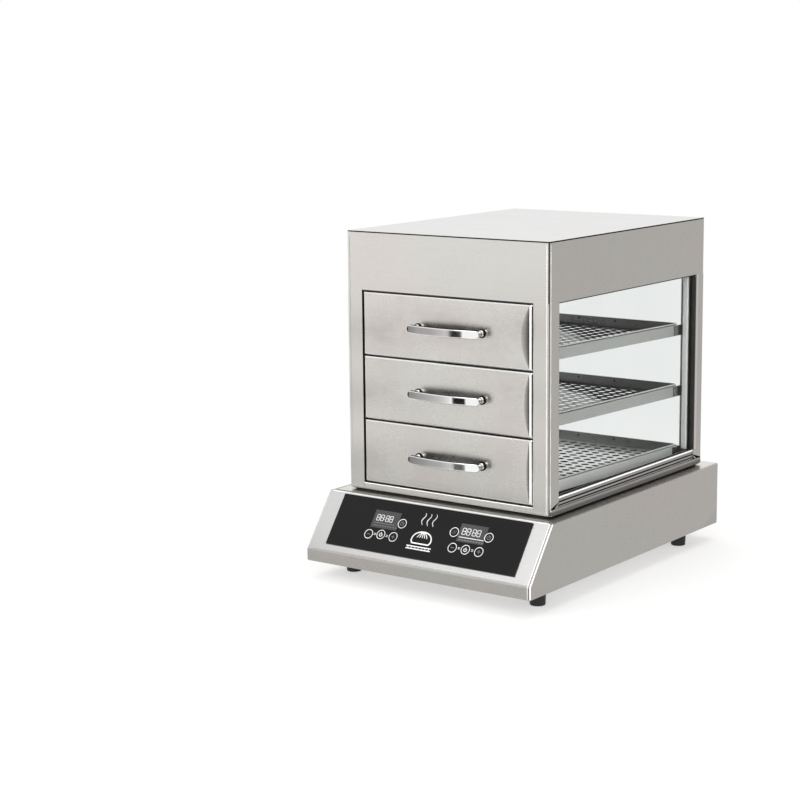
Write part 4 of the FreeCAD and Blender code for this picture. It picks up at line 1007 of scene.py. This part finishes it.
def strap_section(reach, thick, ease):
    """The points round the strap at one station: (height, towards the drawer)."""
    points = []
    soft = min(ease, reach * 0.6)
    for quarter in range(4):
        for step in range(5):
            angle = math.radians(90 * quarter + 22.5 * step)
            up = 1 if quarter in (0, 3) else -1
            out = 1 if quarter in (0, 1) else -1
            points.append((up * (reach - soft) + soft * math.cos(angle), out * (thick / 2 - ease) + ease * math.sin(angle)))
    return points


def handle(tier):
    """A bowed strap with round ends on two turned feet."""
    low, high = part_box("handle_" + tier)
    half = (high.x - low.x) / 2
    centre_x = (high.x + low.x) / 2
    bow = 8.0 * MM
    thick = 5.0 * MM
    radius = (half * half + bow * bow) / (2 * bow)
    tall = (high.z - low.z) / 2
    middle_z = (high.z + low.z) / 2
    count = 90
    bm = bmesh.new()
    rings = []
    for i in range(1, count):
        x = half * math.sin(math.pi * (i / count - 0.5))
        past = max(0.0, abs(x) - (half - tall))
        reach = math.sqrt(max(tall * tall - past * past, 0.0))
        turn = math.asin(x / radius)
        ring = []
        for z, out in strap_section(reach, thick, 1.4 * MM):
            r = radius - thick / 2 - out
            ring.append(bm.verts.new((centre_x + r * math.sin(turn), low.y + radius - r * math.cos(turn), middle_z + z)))
        rings.append(ring)
    for first, second in zip(rings, rings[1:]):
        bridge(bm, first, second)
    bm.faces.new(rings[0])
    bm.faces.new(rings[-1])
    bmesh.ops.remove_doubles(bm, verts=bm.verts, dist=1e-6)
    bmesh.ops.recalc_face_normals(bm, faces=bm.faces)
    for face in bm.faces:
        middle = face.calc_center_median()
        tip = middle.x - (centre_x - half) < 3.4 * MM
        # painted shade and painted dark reflection: the strap's top, its back and its left tip are near-black
        if face.normal.z > 0.8 or face.normal.y > 0.3 or tip:
            face.material_index = 1
    strap = new_piece("handle_strap_" + tier, bm, "handle_chrome", "drawer_" + tier, 60)
    strap.data.materials.append(M["painted_shade_steel"])
    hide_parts("handle_" + tier)
    across = 55.5 * MM
    back = low.y + radius - math.sqrt((radius - thick) ** 2 - across ** 2)
    reach = high.y - back
    neck = 3.4 * MM
    outline = [(4.8 * MM, -0.6 * MM), (4.8 * MM, 1.0 * MM)]
    outline += [(4.8 * MM - 1.4 * MM * math.sin(math.radians(a)), 1.0 * MM + 1.4 * MM * (1 - math.cos(math.radians(a))))
                for a in (30, 60, 90)]
    outline += [(neck, reach - 5.0 * MM)]
    outline += [(neck + 2.6 * MM * (1 - math.cos(math.radians(a))), reach - 5.0 * MM + 2.6 * MM * math.sin(math.radians(a)))
                for a in (30, 60, 90)]
    outline += [(6.3 * MM, reach - 1.9 * MM), (6.5 * MM, reach - 1.2 * MM), (6.5 * MM, reach + 0.3 * MM)]
    # the feet carry bands of near-black steel as painted dark reflection
    for side, label in ((-1, "left"), (1, "right")):
        foot = lathe(f"handle_foot_{label}_{tier}", outline, (centre_x + side * across, back, middle_z), (0, 1, 0),
                     "handle_chrome", "drawer_" + tier, shaded=(0, 1, 2, 3, 7, 8, 9, 10))


def hem_lines(tier):
    """A near-white line of painted highlight along the folded top edge of each side wall of a tray."""
    low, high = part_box("tray_" + tier)
    mesh = frame["nodes"]["tray_" + tier].data
    for sign, label in ((1, "right"), (-1, "left")):
        side = [v.co for v in mesh.vertices if sign * v.co.x > high.x - 0.2 * MM]
        front = min(v.y for v in side) + 1 * MM
        back = max(v.y for v in side) - 1 * MM
        ends = []
        for at in (front, back):
            near = [v for v in side if abs(v.y - at) < 6 * MM]
            ends.append(Vector((sign * (high.x - 0.45 * MM), at, max(v.z for v in near) - 0.75 * MM)))
        path = [ends[0].lerp(ends[1], i / 12) for i in range(13)]
        tube(f"hem_highlight_{label}_{tier}", path, 0.55 * MM, "bead_pale", "drawer_" + tier, sides=8)


def tray_fixings(tier):
    """Two rivets in the rear wall of a tray, and strips of painted shade on the rear ends of its runners."""
    low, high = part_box("tray_" + tier)
    for x in (-32.0 * MM, 34.5 * MM):
        lathe(f"tray_rivet_{'left' if x < 0 else 'right'}_{tier}", [(2.0 * MM, 0), (2.0 * MM, 0.4 * MM), (1.2 * MM, 0.9 * MM)],
              (x, high.y - 1.1 * MM, low.z + 11.5 * MM), (0, -1, 0), "painted_shade_steel", "drawer_" + tier, sides=16)
    for side in ("right", "left"):
        run_low, run_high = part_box(f"runner_{side}_{tier}")
        sign = 1 if side == "right" else -1
        face = max(abs(run_low.x), abs(run_high.x))
        # painted shade: a near-black strip at the very end of each runner and a dark one before it
        for name, back, length, material in (("end", 0.2, 9.0, "painted_shade_steel"), ("rear_shade", 9.2, 16.0, "bar_shade")):
            y1 = run_high.y - back * MM
            y0 = y1 - length * MM
            xs = sorted((sign * (face - 0.3 * MM), sign * (face + 0.08 * MM)))
            bm = bmesh.new()
            corners = []
            for x in xs:
                for y in (y0, y1):
                    lift = (run_high.y - y) * math.tan(abs(FALL))
                    for z in (run_low.z + 0.4 * MM, run_low.z + 16.1 * MM):
                        corners.append(bm.verts.new((x, y, z + lift)))
            a, b, c, d, e, f, g, h = corners
            for quad in ((a, b, d, c), (e, g, h, f), (a, e, f, b), (c, d, h, g), (a, c, g, e), (b, f, h, d)):
                bm.faces.new(quad)
            bmesh.ops.recalc_face_normals(bm, faces=bm.faces)
            new_piece(f"runner_{name}_{side}_{tier}", bm, material, body_of(f"runner_{side}_{tier}"))


def tray_floor(tier):
    """The perforated sheet, with round holes on a square grid."""
    low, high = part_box("tray_floor_" + tier)
    pitch = 18.5 * MM
    hole = (12.4 if tier == "bottom" else 11.2) * MM / 2
    sheet = 0.35 * MM
    half_x = (high.x - low.x) / 2
    length = (high.y - low.y) / math.cos(FALL) - 0.0
    hinge_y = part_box("drawer_front_" + tier)[1].y
    start = (low.y - hinge_y) / math.cos(FALL)
    top = high.z + (low.y - hinge_y) * math.tan(FALL) * 0
    columns = int((2 * half_x - 16 * MM) / pitch)
    rows = int((length - 16 * MM) / pitch)
    bm = bmesh.new()
    sides = 16
    x0 = -columns * pitch / 2
    y0 = start + (length - rows * pitch) / 2
    cell_edge = []
    for i in range(sides):
        angle = 2 * math.pi * (i + 0.5) / sides + math.pi / 4
        c, s = math.cos(2 * math.pi * i / sides + math.pi / 4), math.sin(2 * math.pi * i / sides + math.pi / 4)
        grow = pitch / 2 / max(abs(c), abs(s))
        cell_edge.append((c * grow, s * grow, c * hole, s * hole))
    for column in range(columns):
        for row in range(rows):
            cx = x0 + (column + 0.5) * pitch
            cy = y0 + (row + 0.5) * pitch
            outer = [bm.verts.new((cx + a, cy + b, 0)) for a, b, _, _ in cell_edge]
            inner = [bm.verts.new((cx + c, cy + d, 0)) for _, _, c, d in cell_edge]
            bridge(bm, outer, inner)
    bmesh.ops.remove_doubles(bm, verts=bm.verts, dist=1e-6)
    rim = [e for e in bm.edges if e.is_boundary and (min(abs(e.verts[0].co.x - x0), abs(e.verts[0].co.x + x0)) < 1e-5
           and min(abs(e.verts[1].co.x - x0), abs(e.verts[1].co.x + x0)) < 1e-5
           or min(abs(e.verts[0].co.y - y0), abs(e.verts[0].co.y - y0 - rows * pitch)) < 1e-5
           and min(abs(e.verts[1].co.y - y0), abs(e.verts[1].co.y - y0 - rows * pitch)) < 1e-5)]
    made = bmesh.ops.extrude_edge_only(bm, edges=rim)
    for vert in [g for g in made["geom"] if isinstance(g, bmesh.types.BMVert)]:
        if abs(vert.co.x - x0) < 1e-5:
            vert.co.x = -half_x
        if abs(vert.co.x + x0) < 1e-5:
            vert.co.x = half_x
        if abs(vert.co.y - y0) < 1e-5:
            vert.co.y = start
        if abs(vert.co.y - y0 - rows * pitch) < 1e-5:
            vert.co.y = start + length
    bmesh.ops.recalc_face_normals(bm, faces=bm.faces)
    if sum(f.normal.z for f in bm.faces) < 0:
        bmesh.ops.reverse_faces(bm, faces=bm.faces)
    turn = Matrix.Rotation(-FALL, 4, "X")
    centre_y = start + length / 2
    middle = Vector((0, (low.y + high.y) / 2, (low.z + high.z) / 2))
    offset = turn @ Vector((0, centre_y, 0))
    shift = Vector((0, middle.y - offset.y, middle.z - offset.z))
    bmesh.ops.transform(bm, matrix=Matrix.Translation(shift) @ turn, verts=bm.verts)
    plate = new_piece("tray_floor_sheet_" + tier, bm, "floor_" + tier, "drawer_" + tier, 35, weighted=False)
    solid = plate.modifiers.new("sheet", "SOLIDIFY")
    solid.thickness = sheet
    solid.offset = 0
    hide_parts("tray_floor_" + tier)


for tier in TIERS:
    drawer_face(tier, LENS[tier])
    handle(tier)
    tray_floor(tier)
    tray_fixings(tier)
    hem_lines(tier)


# Feet

def rubber_foot(place):
    low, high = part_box("foot_" + place)
    centre = (low + high) / 2
    top = (high.x - low.x) / 2
    tall = high.z
    tread = top - 1.5 * MM
    outline = [(4.3 * MM, 6 * MM), (4.3 * MM, 0.6 * MM), (4.9 * MM, 0), (tread - 1.6 * MM, 0)]
    outline += [(tread - 1.6 * MM + 1.6 * MM * math.sin(math.radians(a)), 1.6 * MM * (1 - math.cos(math.radians(a))))
                for a in (30, 60, 90)]
    outline += [(top - 0.6 * MM, tall - 3.2 * MM), (top - 1.1 * MM, tall - 2.9 * MM), (top - 1.1 * MM, tall - 2.4 * MM),
                (top, tall - 2.1 * MM), (top, tall)]
    foot = lathe("rubber_foot_" + place, outline, (centre.x, centre.y, 0), (0, 0, 1), "foot_rubber", "cabinet")
    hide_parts("foot_" + place)


for place in ("front_left", "front_right", "rear_left", "rear_right"):
    rubber_foot(place)


# Floor, light and camera

def floor():
    """A pale floor that goes white away from the part, and keeps the part's shadow."""
    bm = bmesh.new()
    bmesh.ops.create_grid(bm, x_segments=8, y_segments=8, size=6.0)
    mesh = bpy.data.meshes.new("floor")
    bm.to_mesh(mesh)
    bm.free()
    obj = bpy.data.objects.new("floor", mesh)
    bpy.context.scene.collection.objects.link(obj)
    obj.location.z = -0.0002
    material, tree, shader, add = new_material("floor_white")
    shader.inputs["Base Color"].default_value = (0.9, 0.9, 0.9, 1)
    shader.inputs["Roughness"].default_value = 0.9
    shader.inputs["Specular IOR Level"].default_value = 0.0
    glow = add("ShaderNodeEmission", Color=(1, 1, 1, 1), Strength=1.0)
    path = add("ShaderNodeLightPath")
    seen = add("ShaderNodeMath", {"operation": "MAXIMUM"},
               i0=path.outputs["Is Camera Ray"], i1=path.outputs["Is Glossy Ray"]).outputs[0]
    seen = add("ShaderNodeMath", {"operation": "MAXIMUM"}, i0=seen, i1=path.outputs["Is Transmission Ray"]).outputs[0]
    place = add("ShaderNodeTexCoord").outputs["Object"]
    away = add("ShaderNodeVectorMath", {"operation": "LENGTH"}, i0=place).outputs["Value"]
    share = ramp(add, away, 0.45, 1.3, 0.45, 1.0)
    share = add("ShaderNodeMath", {"operation": "MULTIPLY"}, i0=share, i1=seen).outputs[0]
    mix = add("ShaderNodeMixShader", Fac=share)
    tree.links.new(shader.outputs[0], mix.inputs[1])
    tree.links.new(glow.outputs[0], mix.inputs[2])
    tree.links.new(mix.outputs[0], tree.nodes["Material Output"].inputs["Surface"])
    mesh.materials.append(material)


def world():
    """White behind everything; the light on the part falls off to the right and the back."""
    scene_world = bpy.data.worlds.new("studio")
    bpy.context.scene.world = scene_world
    scene_world.use_nodes = True
    tree = scene_world.node_tree
    nodes, links = tree.nodes, tree.links
    background = nodes["Background"]
    white = nodes.new("ShaderNodeBackground")
    white.inputs["Color"].default_value = (1, 1, 1, 1)
    white.inputs["Strength"].default_value = 1.0
    place = nodes.new("ShaderNodeTexCoord")
    split = nodes.new("ShaderNodeSeparateXYZ")
    links.new(place.outputs["Generated"], split.inputs[0])
    side = nodes.new("ShaderNodeVectorMath")
    side.operation = "DOT_PRODUCT"
    links.new(place.outputs["Generated"], side.inputs[0])
    side.inputs[1].default_value = (0.6, 0.8, 0.0)
    fall = nodes.new("ShaderNodeMapRange")
    links.new(side.outputs["Value"], fall.inputs[0])
    for socket, number in zip(fall.inputs[1:5], (0.45, 0.95, 1.0, 0.4)):
        socket.default_value = number
    links.new(fall.outputs[0], background.inputs["Strength"])
    background.inputs["Color"].default_value = (1.0, 0.99, 0.975, 1)
    path = nodes.new("ShaderNodeLightPath")
    seen = nodes.new("ShaderNodeMath")
    seen.operation = "MAXIMUM"
    links.new(path.outputs["Is Camera Ray"], seen.inputs[0])
    links.new(path.outputs["Is Transmission Ray"], seen.inputs[1])
    mix = nodes.new("ShaderNodeMixShader")
    links.new(seen.outputs[0], mix.inputs[0])
    links.new(background.outputs[0], mix.inputs[1])
    links.new(white.outputs[0], mix.inputs[2])
    links.new(mix.outputs[0], nodes["World Output"].inputs["Surface"])


def glowing(name, strength, tint=(1.0, 0.99, 0.975)):
    """A lit studio board of even tone."""
    material = bpy.data.materials.new(name)
    material.use_nodes = True
    tree = material.node_tree
    glow = tree.nodes.new("ShaderNodeEmission")
    glow.inputs["Color"].default_value = tint + (1,)
    glow.inputs["Strength"].default_value = strength
    tree.links.new(glow.outputs[0], tree.nodes["Material Output"].inputs["Surface"])
    return material


def board(name, bm, strength):
    """A board of the studio that only reflections meet."""
    mesh = bpy.data.meshes.new(name)
    bm.to_mesh(mesh)
    bm.free()
    obj = bpy.data.objects.new(name, mesh)
    bpy.context.scene.collection.objects.link(obj)
    obj.visible_camera = False
    obj.visible_diffuse = False
    obj.visible_shadow = False
    mesh.materials.append(glowing(name, strength))
    return obj


def flat_board(name, corners, strength):
    bm = bmesh.new()
    bm.faces.new([bm.verts.new(corner) for corner in corners])
    board(name, bm, strength)


CAMERA_PLACE = Vector((1.600, -2.4633, 0.7725))
HANDLE_TONES = {
    "top": ((-70, 0.22), (-50, 0.31), (-40, 0.39), (-15, 0.42), (0, 0.52), (10, 0.60), (15, 0.50), (18, 0.20),
            (22, 0.03), (29, 0.03), (34, 0.10), (37, 0.55), (38, 1.0)),
    "middle": ((-70, 0.24), (-50, 0.31), (-40, 0.37), (-25, 0.42), (-10, 0.50), (3, 0.60), (12, 0.75), (20, 0.98),
               (22, 0.30), (24, 0.02), (40, 0.015), (42, 0.5), (43, 1.0)),
    "bottom": ((-70, 0.20), (-50, 0.27), (-31, 0.33), (-15, 0.40), (-1, 0.43), (9, 0.52), (18, 0.60), (22, 0.50),
               (25, 0.15), (36, 0.13), (40, 0.35), (42, 1.0)),
}


def handle_board(tier):
    """A narrow board that the strap of a handle mirrors: grey for its left, dark before its right third."""
    low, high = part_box("handle_" + tier)
    centre_x = (high.x + low.x) / 2
    middle_z = (high.z + low.z) / 2
    radius = 248.0 * MM
    tones = HANDLE_TONES[tier]
    bm = bmesh.new()
    layer = bm.verts.layers.float_color.new("tone")
    rows = ([], [])
    for step in range(tones[0][0], tones[-1][0] + 1):
        before = max((t for t in tones if t[0] <= step), key=lambda t: t[0])
        after = min((t for t in tones if t[0] >= step), key=lambda t: t[0])
        share = (step - before[0]) / max(after[0] - before[0], 1)
        tone = before[1] + (after[1] - before[1]) * share
        turn = math.asin(step * MM / radius)
        place = Vector((centre_x + step * MM, low.y + radius * (1 - math.cos(turn)), middle_z))
        normal = Vector((math.sin(turn), -math.cos(turn), 0))
        ray = (place - CAMERA_PLACE).normalized().reflect(normal)
        for row, shift in zip(rows, (-0.014, 0.014)):
            vert = bm.verts.new(place + ray * 0.5 + Vector((0, 0, shift)))
            vert[layer] = (tone, tone * 0.99, tone * 0.97, 1)
            row.append(vert)
    bridge(bm, rows[0], rows[1], closed=False)
    obj = board("handle_board_" + tier, bm, 1.0)
    tree = obj.data.materials[0].node_tree
    tone = tree.nodes.new("ShaderNodeAttribute")
    tone.attribute_name = "tone"
    tree.links.new(tone.outputs["Color"], tree.nodes["Emission"].inputs["Color"])


def studio_boards():
    """Grey boards round the part, as a photographer sets them for bare metal."""
    flat_board("side_board", [(0.34, -0.75, 0.0), (1.05, -0.15, 0.9), (0.35, 1.25, 0.9), (0.12, 0.62, 0.0)], 0.55)
    flat_board("side_floor", [(0.20, -0.32, 0.001), (0.60, -0.70, 0.001), (0.90, 0.70, 0.001), (0.20, 0.75, 0.001)], 0.52)
    flat_board("lip_floor", [(0.25, -0.29, 0.001), (0.05, -0.75, 0.001), (-0.75, -0.60, 0.001), (-0.30, -0.29, 0.001)], 0.52)
    flat_board("camera_board", [(0.12, -1.2, 0.0), (1.1, -0.75, 0.0), (1.1, -0.75, 0.52), (0.12, -1.2, 0.52)], 0.04)
    for tier in TIERS:
        handle_board(tier)


def softbox(name, place, target, size, power):
    lamp = bpy.data.lights.new(name, "AREA")
    lamp.shape = "RECTANGLE"
    lamp.size, lamp.size_y = size
    lamp.energy = power
    obj = bpy.data.objects.new(name, lamp)
    obj.location = place
    obj.rotation_euler = (Vector(target) - Vector(place)).to_track_quat("-Z", "Y").to_euler()
    bpy.context.scene.collection.objects.link(obj)
    return obj


def camera():
    """The photograph's viewpoint, from its fitted lens, place and three turns."""
    yaw, pitch, roll = (math.radians(a) for a in (36.60, 10.17, -0.62))
    view = Vector((-math.sin(yaw) * math.cos(pitch), math.cos(yaw) * math.cos(pitch), -math.sin(pitch)))
    right = Vector((math.cos(yaw), math.sin(yaw), 0))
    up = right.cross(view)
    turned_right = math.cos(roll) * right + math.sin(roll) * up
    turned_up = -math.sin(roll) * right + math.cos(roll) * up
    turn = Matrix((turned_right, turned_up, -view)).transposed().to_4x4()
    data = bpy.data.cameras.new("photo_view")
    data.sensor_width = 36.0
    data.lens = 36.0 * 1963.5 / 800
    obj = bpy.data.objects.new("photo_view", data)
    obj.matrix_world = Matrix.Translation(CAMERA_PLACE) @ turn
    bpy.context.scene.collection.objects.link(obj)
    bpy.context.scene.camera = obj


floor()
world()
softbox("key", (-0.5, -2.7, 2.3), (0, 0, 0.25), (1.6, 1.6), 26)
softbox("top", (0.1, 0.5, 2.7), (0, 0, 0.3), (2.0, 2.0), 20)
fill = softbox("fill", (2.3, -1.7, 1.0), (0.15, 0.1, 0.3), (1.4, 1.4), 30)
fill.visible_glossy = False
studio_boards()
camera()
bpy.context.scene.view_settings.view_transform = "Standard"
